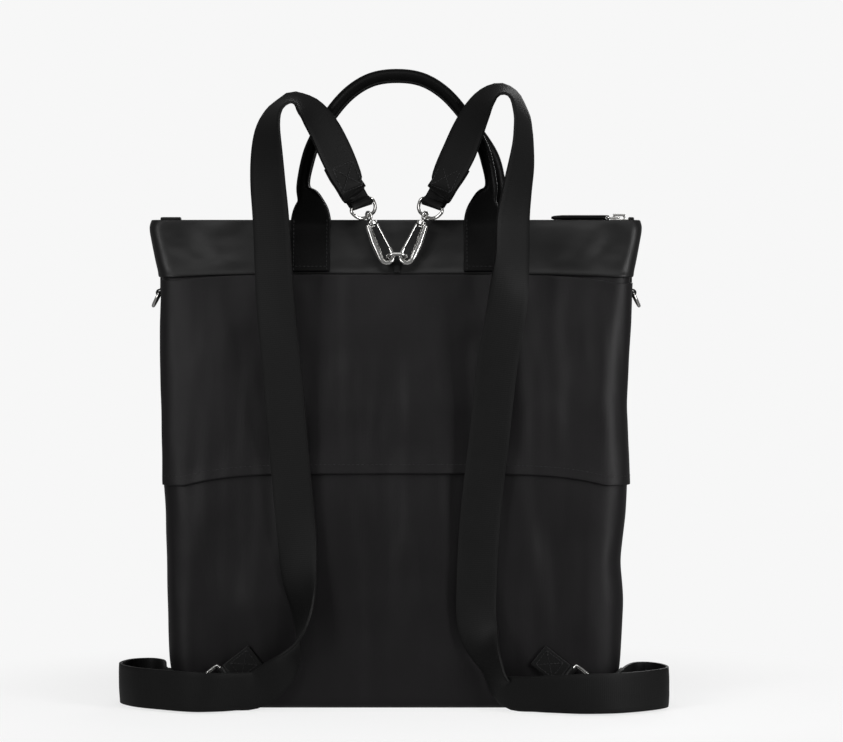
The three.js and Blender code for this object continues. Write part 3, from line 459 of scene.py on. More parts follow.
# Soft folds and dents of the filled but empty-looking bag, in millimetres outwards. Each row:
# panel side (-1 back, 1 front, 0 both), x, z, half width, half height, turn in degrees, height.
dents = [
    (-1, -120, 40, 16, 60, 24, -2.2),
    (-1, -95, 70, 20, 55, 30, 1.6),
    (-1, -145, 110, 9, 60, -6, 1.2),
    (-1, 138, 60, 10, 70, 4, 1.5),
    (-1, 118, 90, 14, 65, -8, -1.8),
    (-1, 30, 90, 16, 110, 3, 1.3),
    (-1, -12, 100, 14, 120, -2, -1.2),
    (-1, 60, 70, 12, 80, 5, -1.0),
    (-1, -60, 120, 12, 70, -4, 0.9),
    (0, 150, 250, 10, 90, 2, 1.4),
    (0, 128, 240, 12, 80, -2, -1.2),
    (-1, -40, 240, 30, 60, 6, 1.0),
    (-1, 20, 250, 22, 70, -4, -0.9),
    (-1, 90, 235, 18, 80, 3, 0.9),
    (-1, -130, 240, 14, 80, -3, 1.1),
    (1, -60, 120, 30, 90, 12, 1.6),
    (1, 70, 150, 26, 100, -10, -1.6),
    (1, 10, 230, 34, 80, 4, 1.3),
    (1, -120, 60, 20, 60, -20, -1.8),
    (1, 120, 50, 20, 60, 18, -1.6),
]


def bagFolds(point, ny):
    total = 0
    for side, x, z, wide, tall, turn, height in dents:
        facing = abs(ny) if side == 0 else max(0, side * ny)
        if facing < 0.01:
            continue
        angle = math.radians(turn)
        dx, dz = point.x - x, point.z - z
        a = (dx * math.cos(angle) + dz * math.sin(angle)) / wide
        b = (-dx * math.sin(angle) + dz * math.cos(angle)) / tall
        if a * a + b * b < 9:
            total += height * facing * math.exp(-(a * a + b * b))
    ripple = noise.fractal(point * 0.012 + Vector((3.1, 7.7, 1.9)), 0.9, 2.1, 3)
    fine = noise.noise(point * 0.045 + Vector((9, 2, 5)))
    ends = smooth(2, 30, point.z) * (1 - smooth(318, 350, point.z))
    return total + (1.2 * ripple + 0.35 * fine) * ends


# Body: one skin from the middle of the base up to the rim and down the inside

body = {"panelSteps": 54, "sideSteps": 18, "cornerSteps": 5, "rise": 7, "insideStep": 30}


def outlineShares(panelSteps, sideSteps, cornerSteps):
    stretch = (panelSteps / (panelSteps + cornerSteps), sideSteps / (sideSteps + cornerSteps))
    shares = []
    for quarter in range(4):
        steps = sideSteps if quarter % 2 else panelSteps
        straight = stretch[quarter % 2]
        shares += [quarter + straight * i / steps for i in range(steps)]
        shares += [quarter + straight + (1 - straight) * i / cornerSteps for i in range(cornerSteps)]
    return shares + [4], stretch


def makeBody():
    shares, stretch = outlineShares(body["panelSteps"], body["sideSteps"], body["cornerSteps"])
    wall, edge = bag["wall"], bag["baseEdge"]
    levels = [(0, 0, 0.02), (0, 0, 0.35), (0, 0, 0.7), (0, 0, 0.93)]
    levels += [(0, -edge, 1), (edge * 0.12, -edge * 0.55, 1), (edge * 0.42, -edge * 0.2, 1), (edge, 0, 1)]
    steps = round((bag["height"] - edge) / body["rise"])
    levels += [(mix(edge, bag["height"] - 0.6, i / steps), 0, 1) for i in range(1, steps + 1)]
    levels += [(bag["height"], -0.6, 1), (bag["height"], -wall + 0.6, 1), (bag["height"] - 0.6, -wall, 1)]
    levels += [(z, -wall, 1) for z in range(int(bag["height"]) - 25, 12, -body["insideStep"])]
    levels += [(wall + edge, -wall, 1)] + [(wall, -wall - edge, inward) for inward in (1, 0.6, 0.02)]
    girth = 2 * (bag["width"] + bag["depth"]) * 0.93

    def place(u, v):
        column = round(u * (len(shares) - 1))
        level = round(v * (len(levels) - 1))
        spot = outlinePlace(shares[column] % 4, stretch)
        z, offset, inward = levels[level]
        point = onBag(spot, max(z, rowHeights[0]) if z else rowHeights[0], offset)
        point.z = z
        if inward < 1:
            point.x *= inward
            point.y *= inward
        elif 0 < z:
            push = bagFolds(point, spot[3])
            point.x += spot[2] * push * 0.6
            point.y += spot[3] * push
        return point

    obj = clothGrid("bag_body", len(shares) - 1, len(levels) - 1, place, (girth, bag["height"] * 2.2))
    mergeDoubles(obj)
    useSubdivision(obj, 1)
    shadeSmooth(obj)
    obj.data.materials.append(looks["body"])
    settle(obj, "body_shell")
    return obj


makeBody()
print("body done")

# The sleeve across the back, open at its foot, and the band round the top

sleeve = {"columns": 84, "rows": 30, "side": 0.1, "hem": 0.5, "hemHeight": 9}
sleeveShares, sleeveStretch = outlineShares(54, 18, 5)


# Along the sleeve from the left side round the back to the right side, as a share of the outline
def sleeveSpot(u):
    along = mix(-0.16, 1.03, u)
    return outlinePlace(along % 4, sleeveStretch)


def sleevePlace(u, v):
    spot = sleeveSpot(u)
    cx = spot[0]
    side = abs(cx) ** 5
    foot = bag["height"] * bag["sleeveShare"] - bag["sleeveDip"] * side
    head = bandFootAt(cx) - bag["sleeveTuck"] + 0.8 - (4 if cx > 0 else 2) * side
    z = mix(foot, head, v)
    hem = sleeve["hem"] * (1 - smooth(0, sleeve["hemHeight"], z - foot)) + 0.5 * (1 - smooth(0, 5, head - z))
    lift = 0.7 * (1 - smooth(0, 22, z - foot)) * (1 - side)
    point = onBag(spot, z, bag["gap"] + bag["panel"])
    push = bagFolds(point, spot[3]) + hem + lift
    point.x += spot[2] * push * 0.6
    point.y += spot[3] * push
    return point


def makeSleeve():
    obj = clothGrid("back_sleeve_cloth", sleeve["columns"], sleeve["rows"], sleevePlace, (400, 145))
    pick(obj)
    bpy.ops.object.mode_set(mode="EDIT")
    bpy.ops.mesh.select_all(action="SELECT")
    bpy.ops.mesh.normals_make_consistent(inside=False)
    bpy.ops.object.mode_set(mode="OBJECT")
    middle = min(obj.data.polygons, key=lambda face: abs(face.center.x) + abs(face.center.z - 0.24))
    if middle.normal.y > 0:
        pick(obj)
        bpy.ops.object.mode_set(mode="EDIT")
        bpy.ops.mesh.select_all(action="SELECT")
        bpy.ops.mesh.flip_normals()
        bpy.ops.object.mode_set(mode="OBJECT")
    useModifier(obj, "SOLIDIFY", thickness=(bag["panel"] + 0.1) * mm, offset=-1)
    useModifier(obj, "BEVEL", width=0.5 * mm, segments=2, limit_method="ANGLE", angle_limit=math.radians(50))
    useSubdivision(obj, 1)
    shadeSmooth(obj)
    obj.data.materials.append(looks["body"])
    settle(obj, "back_sleeve")
    return obj


makeSleeve()

# Broad dents of the band, in millimetres outwards: x, z, half width, half height, turn, height
bandDents = [
    (-150, 335, 12, 26, 35, -1.3),
    (-128, 330, 12, 24, 30, 1.2),
    (135, 335, 10, 26, -38, 1.5),
    (152, 332, 10, 26, -34, -1.2),
    (60, 338, 30, 14, -8, 0.8),
    (-70, 334, 34, 12, 6, 0.7),
    (0, 336, 22, 16, 0, -0.6),
    (100, 330, 16, 20, -12, -0.7),
]
band = {"panelSteps": 60, "sideSteps": 10, "cornerSteps": 5, "rows": 12}


def makeBand():
    shares, stretch = outlineShares(band["panelSteps"], band["sideSteps"], band["cornerSteps"])
    offset = bag["gap"] + bag["panel"]
    head = bag["height"] + bag["bandLip"]
    rows = band["rows"]
    # Each level: share up from foot to head, offset from the bag
    levels = [(0, bag["gap"]), (-0.012, bag["gap"] + 0.5), (-0.012, offset + 0.1)]
    levels += [(0.012, offset + 0.5), (0.04, offset + 0.5), (0.07, offset + 0.15)]
    levels += [(mix(0.07, 0.97, i / rows), offset) for i in range(1, rows + 1)]
    levels += [(1, offset - 0.5), (1, bag["gap"] + 0.5), (0.97, bag["gap"]), (0.5, bag["gap"]), (0, bag["gap"])]

    def place(u, v):
        column = round(u * (len(shares) - 1))
        level = round(v * (len(levels) - 1))
        spot = outlinePlace(shares[column] % 4, stretch)
        foot = bandFootAt(spot[0])
        share, out = levels[level]
        z = mix(foot, head, share)
        point = onBag(spot, min(z, bag["height"]), out)
        point.z = z
        if out > bag["gap"] + 0.3:
            push = 0
            for x, height, wide, tall, turn, depth in bandDents:
                angle = math.radians(turn * (1 if spot[3] <= 0 else -1))
                dx, dz = point.x - x, z - height
                a = (dx * math.cos(angle) + dz * math.sin(angle)) / wide
                b = (-dx * math.sin(angle) + dz * math.cos(angle)) / tall
                push += depth * math.exp(-(a * a + b * b))
            wave = noise.fractal(point * 0.02 + Vector((1, 4, 2)), 0.9, 2, 3)
            push = (push + 0.7 * wave + 0.5) * smooth(0, 0.25, share) * (1 - smooth(0.85, 1, share))
            point.x += spot[2] * push * 0.4
            point.y += spot[3] * push
        return point

    obj = clothGrid("top_band_cloth", len(shares) - 1, len(levels) - 1, place, (880, 95))
    mergeDoubles(obj)
    useSubdivision(obj, 1)
    shadeSmooth(obj)
    obj.data.materials.append(looks["band"])
    settle(obj, "top_band")
    return obj


makeBand()
print("sleeve and band done")


# Ribbons: a strip of webbing along stations of (place, breadth, width)

def lengthsAlong(points):
    total = [0]
    for a, b in zip(points, points[1:]):
        total.append(total[-1] + (b - a).length)
    return total


# Evenly spaced stations along a smooth run through the given ones
def evenStations(stations, step):
    rows = [(*place, *breadth, width) for place, breadth, width in stations]
    count = (len(rows) - 1) * 12
    dense = [eased(rows, i / count) for i in range(count + 1)]
    points = [Vector(row[:3]) for row in dense]
    lengths = lengthsAlong(points)
    steps = max(2, round(lengths[-1] / step))
    found, k = [], 0
    for i in range(steps + 1):
        target = lengths[-1] * i / steps
        while k < count - 1 and lengths[k + 1] < target:
            k += 1
        span = lengths[k + 1] - lengths[k]
        t = clamp((target - lengths[k]) / span) if span else 0
        row = [mix(a, b, t) for a, b in zip(dense[k], dense[k + 1])]
        found.append((Vector(row[:3]), Vector(row[3:6]), row[6]))
    ribbon = []
    for i, (place, breadth, width) in enumerate(found):
        ahead = found[min(i + 1, steps)][0]
        behind = found[max(i - 1, 0)][0]
        along = (ahead - behind).normalized()
        across = (breadth - along * breadth.dot(along)).normalized()
        ribbon.append((place, along, across, along.cross(across), width))
    return ribbon, lengths[-1]


def makeRibbon(name, ribbon, length, columns, thick, widest, camber=0.0, wave=0.0):
    rows = len(ribbon) - 1

    def place(u, v):
        here, along, across, normal, width = ribbon[round(v * rows)]
        side = 2 * u - 1
        arch = camber * (1 - side * side)
        ripple = wave * noise.noise(Vector((side * 0.7, v * length * 0.022, 4.2))) * abs(side)
        return here + across * (side * width / 2) + normal * (arch + ripple)

    obj = clothGrid(name, columns, rows, place, (widest, length))
    useModifier(obj, "SOLIDIFY", thickness=thick * mm, offset=0)
    useModifier(obj, "BEVEL", width=0.45 * mm, segments=2, limit_method="ANGLE", angle_limit=math.radians(55))
    shadeSmooth(obj, 50)
    return obj


# Stitches: one stitch shaped once, then copied along seams

stitch = {"long": 2.3, "pitch": 3.1, "thick": 0.62}


def makeStitchForm():
    deselect()
    bpy.ops.mesh.primitive_uv_sphere_add(segments=6, ring_count=4, radius=0.5)
    form = bpy.context.object
    verts = [(v.co.z, v.co.x, v.co.y) for v in form.data.vertices]
    faces = [tuple(face.vertices) for face in form.data.polygons]
    bpy.ops.object.delete()
    return verts, faces


stitchVerts, stitchFaces = makeStitchForm()


# runs is a list of seams; each seam is a list of (place, normal) in millimetres
def makeStitches(name, runs, pitch=stitch["pitch"], thick=stitch["thick"]):
    long = stitch["long"]
    verts, faces = [], []
    for run in runs:
        lengths = lengthsAlong([place for place, _ in run])
        count = max(1, round(lengths[-1] / pitch))
        for i in range(count):
            target = lengths[-1] * (i + 0.5) / count
            k = next((k for k in range(len(run) - 1) if lengths[k + 1] >= target), len(run) - 2)
            span = lengths[k + 1] - lengths[k]
            t = (target - lengths[k]) / span if span else 0
            middle = run[k][0].lerp(run[k + 1][0], t)
            along = (run[k + 1][0] - run[k][0]).normalized()
            normal = run[k][1].lerp(run[k + 1][1], t).normalized()
            across = normal.cross(along).normalized()
            base = len(verts)
            for a, b, c in stitchVerts:
                verts.append((middle + along * (a * long) + across * (b * thick) + normal * (c * thick * 0.8)) * mm)
            faces += [tuple(base + k for k in face) for face in stitchFaces]
    mesh = bpy.data.meshes.new(name)
    mesh.from_pydata([tuple(v) for v in verts], [], faces)
    mesh.update()
    obj = bpy.data.objects.new(name, mesh)
    bpy.context.scene.collection.objects.link(obj)
    mergeDoubles(obj, 0.000001)
    shadeSmooth(obj)
    obj.data.materials.append(looks["thread"])
    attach(obj, "backpack")


# A sewn box with its diagonals, on a strip given by its middle, its two ways and its normal
def stitchBox(middle, along, across, normal, long, wide):
    corner = {
        (a, b): (middle + along * (a * long / 2) + across * (b * wide / 2), normal)
        for a in (-1, 1) for b in (-1, 1)
    }
    loop = [(-1, -1), (1, -1), (1, 1), (-1, 1), (-1, -1)]
    runs = [[corner[loop[i]], corner[loop[i + 1]]] for i in range(4)]
    return runs + [[corner[(-1, -1)], corner[(1, 1)]], [corner[(-1, 1)], corner[(1, -1)]]]


# Straps

strapForm = {
    "width": 29, "thick": 2, "endWidth": 18, "floorGap": 0.4, "tail": 8, "fold": 44, "wireGap": 1.7,
    "cut": {"left": 890, "right": 860}, "pitch": 2.6, "widen": 1.8,
}
hardware = {
    "centreRingInside": 11, "centreRingReach": 12, "ringWire": 2.8, "centreRingHeight": 325, "centreTilt": 24,
    "hookReach": 34, "held": 0.45, "ringReach": 11, "tabThick": 1.2, "tabLength": 26, "tabDrop": 13,
    "baseAcross": 123, "baseHeight": 23.5, "baseTurn": 38, "baseLean": 9, "baseReach": 12.5,
}
# Stations from the upper ring down to the lower one: place outwards as a share of the bag's half
# width, out behind it as a share of its half depth, height as a share of its height, then the
# turn and tip of the strap's breadth in degrees, and its width as a share of the whole
strapRows = {
    "left": [
        (0.189, 0.71, 1.066, 139, 24, 0.73),
        (0.219, 0.72, 1.099, 140, 24, 0.93),
        (0.261, 0.74, 1.144, 140, 24, 1.0),
        (0.308, 0.78, 1.19, 135, 22, 1.0),
        (0.358, 0.82, 1.224, 125, 20, 1.0),
        (0.403, 0.86, 1.242, 112, 17, 1.0),
        (0.447, 0.9, 1.252, 100, 14, 1.0),
        (0.494, 0.95, 1.243, 86, 12, 1.0),
        (0.526, 1, 1.226, 70, 8, 1.0),
        (0.547, 1.035, 1.192, 54, 4, 1.0),
        (0.552, 1.06, 1.144, 40, 0, 1.0),
        (0.547, 1.08, 1.083, 29, 0, 1.0),
        (0.533, 1.09, 1.003, 24, 0, 1.0),
        (0.514, 1.1, 0.836, 18, 0, 1.0),
        (0.481, 1.11, 0.67, 14, 0, 1.0),
        (0.449, 1.12, 0.486, 12, 0, 1.0),
        (0.425, 1.14, 0.363, 14, 0, 1.0),
        (0.414, 1.18, 0.281, 28, 0, 1.0),
        (0.4, 1.27, 0.213, 57, -5, 1.0),
        (0.41, 1.33, 0.161, 76, -18, 1.0),
        (0.447, 1.33, 0.117, 88, -42, 1.0),
        (0.512, 1.28, 0.075, 94, -62, 1.0),
        (0.594, 1.27, 0.045, 94, -72, 1.0),
        (0.676, 1.38, 0.04, 90, -70, 1.0),
        (0.782, 1.54, 0.04, 90, -78, 1.0),
        (0.876, 1.52, 0.04, 90, -86, 1.0),
        (0.988, 1.31, 0.04, 90, -88, 1.0),
        (1.118, 1, 0.04, 90, -88, 1.0),
        (1.19, 0.56, 0.04, 90, -88, 1.0),
        (1.16, 0.1, 0.04, 90, -88, 1.0),
        (1.076, -0.05, 0.042, 90, -88, 1.0),
        (1.018, 0.12, 0.044, 90, -88, 1.0),
        (1.0, 0.42, 0.044, 90, -88, 1.0),
        (0.994, 0.76, 0.043, 90, -88, 0.97),
        (0.953, 1.03, 0.04, 90, -84, 0.88),
        (0.888, 1.11, 0.036, 90, -72, 0.76),
    ],
    "right": [
        (0.189, 0.71, 1.066, 139, 24, 0.73),
        (0.225, 0.72, 1.103, 140, 24, 0.93),
        (0.267, 0.74, 1.144, 140, 24, 1.0),
        (0.302, 0.77, 1.185, 136, 22, 1.0),
        (0.343, 0.81, 1.226, 126, 20, 1.0),
        (0.39, 0.86, 1.256, 112, 17, 1.0),
        (0.447, 0.91, 1.27, 98, 14, 1.0),
        (0.5, 0.95, 1.259, 84, 12, 1.0),
        (0.531, 1, 1.222, 70, 6, 1.0),
        (0.537, 1.03, 1.192, 64, 3, 1.0),
        (0.536, 1.06, 1.157, 59, 0, 1.0),
        (0.527, 1.08, 1.113, 51, 0, 1.0),
        (0.509, 1.09, 1.058, 44, 0, 1.0),
        (0.494, 1.1, 1.003, 37, 0, 1.0),
        (0.49, 1.11, 0.924, 33, 0, 1.0),
        (0.466, 1.11, 0.821, 6, 0, 1.0),
        (0.428, 1.11, 0.708, 0, 0, 1.0),
        (0.394, 1.11, 0.56, 0, 0, 1.0),
        (0.372, 1.12, 0.472, 0, 0, 1.0),
        (0.349, 1.13, 0.359, 0, 0, 1.0),
        (0.339, 1.15, 0.244, 0, 0, 1.0),
        (0.339, 1.17, 0.194, -8, 2, 1.0),
        (0.35, 1.2, 0.158, -20, 5, 1.0),
        (0.374, 1.25, 0.123, -44, 17, 1.0),
        (0.402, 1.28, 0.093, -62, 24, 1.0),
        (0.425, 1.28, 0.065, -71, 33, 1.0),
        (0.465, 1.3, 0.04, -85, 56, 1.0),
        (0.571, 1.52, 0.04, -90, 61, 1.0),
        (0.676, 1.67, 0.041, -90, 72, 1.0),
        (0.812, 1.73, 0.041, -90, 86, 1.0),
        (0.947, 1.64, 0.041, -90, 88, 1.0),
        (1.085, 1.34, 0.041, -90, 88, 1.0),
        (1.155, 1.02, 0.041, -90, 88, 1.0),
        (1.14, 0.65, 0.042, -90, 88, 1.0),
        (1.085, 0.42, 0.044, -90, 88, 1.0),
        (1.024, 0.46, 0.044, -90, 88, 1.0),
        (0.985, 0.73, 0.043, -90, 88, 0.97),
        (0.95, 1.02, 0.04, -90, 84, 0.88),
        (0.888, 1.11, 0.036, -90, 72, 0.76),
    ],
}

ringHole = hardware["ringWire"] / 2 + 0.3
tabRise = ringHole + hardware["tabThick"]


def backDepth(x, z):
    left, right, deep, belly, rounding, fold = bagSizes(z)
    cx = clamp(x / ((left if x < 0 else right) - rounding), -1, 1)
    return deep + belly * (1 - cx * cx)


tilt = math.radians(hardware["centreTilt"])
centreWay = Vector((0, -math.cos(tilt), math.sin(tilt)))
centreHeight = hardware["centreRingHeight"]
centreAt = Vector((0, -(backDepth(0, centreHeight) + bag["gap"] * 2 + bag["panel"] + tabRise), centreHeight))
hookWay = Vector((0.4, 0.2, 0.893)).normalized()
ringWay = Vector((0.545, 0.05, 0.838)).normalized()
topBreadth = Vector((-0.675, 0.62, 0.4)).normalized()
halfRing = Vector(((hardware["centreRingInside"] + hardware["ringWire"]) / 2, 0, 0))
heldPoint = halfRing + centreAt + centreWay * (hardware["centreRingReach"] * hardware["held"])
apex = heldPoint + hookWay * hardware["hookReach"]
strapTop = apex + ringWay * hardware["ringReach"]
baseTurn, baseLean = math.radians(hardware["baseTurn"]), math.radians(hardware["baseLean"])
baseWay = Vector((math.cos(baseTurn), -math.sin(baseLean), -math.sin(baseTurn))).normalized()


def baseEye(sign):
    across, height = hardware["baseAcross"], hardware["baseHeight"]
    inner = backDepth(sign * (across - hardware["tabLength"]), height + hardware["tabDrop"])
    depth = max(backDepth(sign * across, height), inner)
    return Vector((across, -(depth + bag["gap"] + tabRise), height))


def strapStations(name, sign):
    turnOver = Vector((sign, 1, 1))
    rows = []
    for across, out, rise, turn, tip, width in strapRows[name]:
        turn, tip = math.radians(turn), math.radians(tip)
        level = math.cos(tip)
        breadth = Vector((math.cos(turn) * level, math.sin(turn) * level, math.sin(tip)))
        wide = width * strapForm["width"]
        rest = wide / 2 * abs(breadth.z) + strapForm["thick"] / 2 + strapForm["floorGap"]
        place = Vector((across * bag["width"] / 2, -out * bag["depth"] / 2, max(rise * bag["height"], rest)))
        rows.append((place, breadth, wide))
    baseEnd = baseEye(sign) + baseWay * hardware["baseReach"]
    baseBreadth = Vector((-baseWay.z, 0, baseWay.x)) * sign
    wide = strapForm["endWidth"]
    ends = ((2.6, 0), (strapForm["tail"], strapForm["widen"]))
    start = [(strapTop + ringWay * w, topBreadth, wide + more) for w, more in ends]
    finish = [(baseEnd + baseWay * w, baseBreadth, wide) for w in (strapForm["tail"], 2.6)]
    stations = start + rows + finish
    return [(p * turnOver, b * turnOver, w) for p, b, w in stations], strapTop * turnOver, baseEnd * turnOver


# The end of a strap goes round its ring and lies sewn behind the strap
def foldedEnd(ribbon, ring, facing):
    first = ribbon[0]
    away = (first[0] - ring).normalized()
    normal = first[3] if first[3].dot(facing) > 0 else -first[3]
    gap = strapForm["thick"] / 2 + 0.75
    stations = [(ring + away * 3 + normal * 0.2, first[2], first[4])]
    radius = strapForm["wireGap"] + strapForm["thick"] * 0.42
    for angle in (40, 85, 130):
        turn = math.radians(angle)
        place = ring - away * (radius * math.sin(turn)) + normal * (radius * math.cos(turn))
        stations.append((place, first[2], first[4]))
    walked = 0
    for before, after in zip(ribbon, ribbon[1:]):
        walked += (after[0] - before[0]).length
        if walked > strapForm["fold"]:
            break
        if walked > 3:
            back = after[3] if after[3].dot(facing) > 0 else -after[3]
            ease = smooth(0, 12, walked)
            stations.append((after[0] - back * mix(1.6, 2 * gap - 1.1, ease), after[2], after[4] - 0.8))
    return stations


# The strap runs up from the ring over its tail, so the main run starts on the near side of the wire
def makeStrap(name, sign):
    stations, ring, baseRing = strapStations(name, sign)
    ribbon, length = evenStations(stations, 4)
    thick, wide = strapForm["thick"], strapForm["width"]
    pieces = [makeRibbon("strap_run_" + name, ribbon, length, 8, thick, wide, 0.35, 0.8)]
    boxes = []
    facing = Vector((0, -1, 0))
    for end, run in (("upper", ribbon), ("lower", ribbon[::-1])):
        ringPlace = ring if end == "upper" else baseRing
        tail, tailLength = evenStations(foldedEnd(run, ringPlace, facing), 2.5)
        pieces.append(makeRibbon(f"strap_fold_{end}_{name}", tail, tailLength, 4, thick * 0.8, wide))
        walked = 0
        for before, after in zip(run, run[1:]):
            walked += (after[0] - before[0]).length
            if walked > 31:
                break
        normal = after[3] if after[3].dot(facing) > 0 else -after[3]
        middle = after[0] + normal * (strapForm["thick"] / 2 + 0.42)
        if end == "upper":
            boxes += stitchBox(middle, after[1], after[2], normal, 19, 19)
    strap = joinPieces("strap_webbing_" + name, pieces)
    strap.data.materials.clear()
    strap.data.materials.append(looks["webbing"])
    settle(strap, "strap_" + name)
    makeStitches("strap_stitches_" + name, boxes, strapForm["pitch"])


for name, sign in (("left", -1), ("right", 1)):
    makeStrap(name, sign)
print("straps done")

# Handles: a flat tab on each side of an arch rolled into a tube

handleForm = {"span": 140, "drop": 108, "tube": 9.4, "tabWidth": 29, "tabThick": 2.6, "lean": 5, "bow": 7}
# Half an arch above the bag: across, up, width and thickness as shares of span, drop and tube,
# and how square the section is
archRows = [
    (0.93, 0.16, 1.9, 0.6, 3),
    (0.985, 0.245, 1.02, 0.95, 2.1),
    (0.94, 0.41, 1, 1, 2),
    (0.87, 0.54, 1, 1, 2),
    (0.72, 0.71, 1, 1, 2),
    (0.51, 0.87, 1, 1, 2),
    (0.27, 0.966, 1, 1, 2),
    (0, 0.992, 1, 1, 2),
]


def handleStations(bow):
    rows = []
    offset = bag["gap"] + bag["panel"]
    for down in (1, 0.72, 0.45, 0.18, -0.02):
        z = bag["height"] - down * (bag["bandHeight"] - 1.5)
        x = handleForm["span"] / 2 * 0.905
        depth = backDepth(x, z) + offset + bag["gap"] + handleForm["tabThick"] / 2
        rows.append((x, -depth, z, handleForm["tabWidth"], handleForm["tabThick"], 7))
    footY = rows[-1][1]
    rise = 0.085
    rows.append((
        handleForm["span"] / 2 * 0.91, footY - handleForm["lean"] * rise, bag["height"] + rise * handleForm["drop"],
        handleForm["tabWidth"] * 0.88, handleForm["tabThick"] * 1.35, 5,
    ))
    for across, rise, width, thick, square in archRows:
        rows.append((
            across * handleForm["span"] / 2, footY - handleForm["lean"] * rise, bag["height"] + rise * handleForm["drop"],
            width * handleForm["tube"], thick * handleForm["tube"], square,
        ))
    other = []
    for x, y, z, *rest in reversed(rows[:-1]):
        aside = bow * (1 - smooth(0.35, 0.8, (z - bag["height"]) / handleForm["drop"]))
        other.append((-x - aside, y, z, *rest))
    return rows + other


def makeHandle(name, sign):
    rows = handleStations(0 if sign > 0 else handleForm["bow"])
    steps = (len(rows) - 1) * 5
    stations = [eased(rows, i / steps) for i in range(steps + 1)]
    frames = []
    for i, row in enumerate(stations):
        ahead, behind = stations[min(i + 1, steps)], stations[max(i - 1, 0)]
        along = (Vector(ahead[:3]) - Vector(behind[:3])).normalized()
        normal = Vector((0, 1, 0))
        normal = (normal - along * normal.dot(along)).normalized()
        frames.append((Vector(row[:3]), normal.cross(along), normal, *row[3:]))
    caps = 2
    levels = [0] * caps + list(range(steps + 1)) + [steps] * caps
    shrink = [0.02, 0.9] + [1] * (steps + 1) + [0.9, 0.02]
    sides = 24

    def place(u, v):
        level = round(v * (len(levels) - 1))
        here, across, normal, width, thick, square = frames[levels[level]]
        turn = 2 * math.pi * u
        c, s = math.cos(turn), math.sin(turn)
        power = 2 / clamp(square, 2, 8)
        x = math.copysign(abs(c) ** power, c) * width / 2
        y = math.copysign(abs(s) ** power, s) * thick / 2
        seam = 0.35 * hill(c, -1, 0.08) * (1 if square < 2.5 else 0)
        point = here + across * (x * shrink[level] * (1 - seam * 0.12)) + normal * (y * shrink[level])
        return Vector((sign * point.x, sign * point.y, point.z))

    obj = clothGrid("handle_leather_" + name, sides, len(levels) - 1, place, (36, 380))
    mergeDoubles(obj)
    useSubdivision(obj, 1)
    shadeSmooth(obj)
    obj.data.materials.append(looks["leather"])
    settle(obj, "handle_" + name)

    runs = []
    for tab in (frames[:24], frames[:-25:-1]):
        for side in (-1, 1):
            run = []
            for here, across, normal, width, thick, square in tab:
                spot = here + across * (side * (width / 2 - 2.4)) - normal * (thick / 2 + 0.12)
                run.append((spot, -normal))
            runs.append(run[:22])
        here, across, normal, width, thick, square = tab[2]
        ends = []
        for side in (-1, 1):
            spot = here + across * (side * (width / 2 - 2.4)) - normal * (thick / 2 + 0.12)
            ends.append((spot, -normal))
        runs.append(ends)
    turned = Vector((sign, sign, 1))
    runs = [[(p * turned, n * turned) for p, n in run] for run in runs]
    makeStitches("handle_stitches_" + name, runs)


makeHandle("back", 1)
makeHandle("front", -1)
print("handles done")

# Metal and small pieces, each from a copy of its frame solid

metal = {"ringSwell": 0.12, "castCell": 0.34, "castPasses": 5}


def copySolid(node, name, look):
    mesh = cadNodes[node].data.copy()
    obj = bpy.data.objects.new(name, mesh)
    bpy.context.scene.collection.objects.link(obj)
    mesh.name = name
    mesh.materials.clear()
    mesh.materials.append(look)
    pick(obj)
    bpy.ops.object.mode_set(mode="EDIT")
    bpy.ops.mesh.select_all(action="SELECT")
    bpy.ops.mesh.remove_doubles(threshold=0.000005)
    bpy.ops.object.mode_set(mode="OBJECT")
    return obj


# Bent wire: the copy's flat-sided rod is rounded by subdivision and brought back to its thickness
def makeWire(node, levels=2):
    obj = copySolid(node, node + "_wire", looks["nickel"])
    bpy.ops.object.mode_set(mode="EDIT")
    bpy.ops.mesh.select_all(action="SELECT")
    bpy.ops.mesh.tris_convert_to_quads(face_threshold=math.radians(60), shape_threshold=math.radians(80))
    bpy.ops.object.mode_set(mode="OBJECT")
    useSubdivision(obj, levels)
    useModifier(obj, "DISPLACE", strength=metal["ringSwell"] * mm, mid_level=0)
    shadeSmooth(obj)
    return settle(obj, node)


# Cast and moulded pieces: the copy is remeshed finely, so that its joints and edges run soft
def makeCast(node, look, cell=None, passes=None, body="backpack"):
    obj = copySolid(node, node + "_form", looks[look])
    useModifier(obj, "REMESH", mode="VOXEL", voxel_size=(cell or metal["castCell"]) * mm)
    useModifier(obj, "SMOOTH", factor=0.5, iterations=passes or metal["castPasses"])
    shadeSmooth(obj)
    return settle(obj, node, body)


makeWire("centre_ring")
makeWire("zip_link")
for name in ("left", "right"):
    makeWire("side_ring_" + name)
    makeWire("base_ring_" + name)
    makeWire("strap_ring_" + name)
    makeCast("hook_eye_" + name, "nickel", 0.28, 3)
    makeCast("hook_body_" + name, "nickel", 0.3, 4)
    makeCast("hook_gate_" + name, "nickel", 0.24, 2, "gate_" + name)
    makeCast("side_ring_tab_" + name, "tab", 0.4, 6)
    makeCast("base_ring_tab_" + name, "tab", 0.4, 6)
    makeCast("zip_end_" + name, "tab", 0.4, 30)
makeCast("centre_ring_tab", "tab", 0.35, 5)
makeCast("zip_slider", "nickel", 0.26, 3)
makeCast("zip_pull", "leather", 0.4, 4)
print("metal and small pieces done")

# Zip: two tapes and a chain of moulded teeth

zipForm = {"pitch": 2.2, "toothLong": 1.3, "toothWide": 3.6, "toothThick": 1.7, "count": 152}


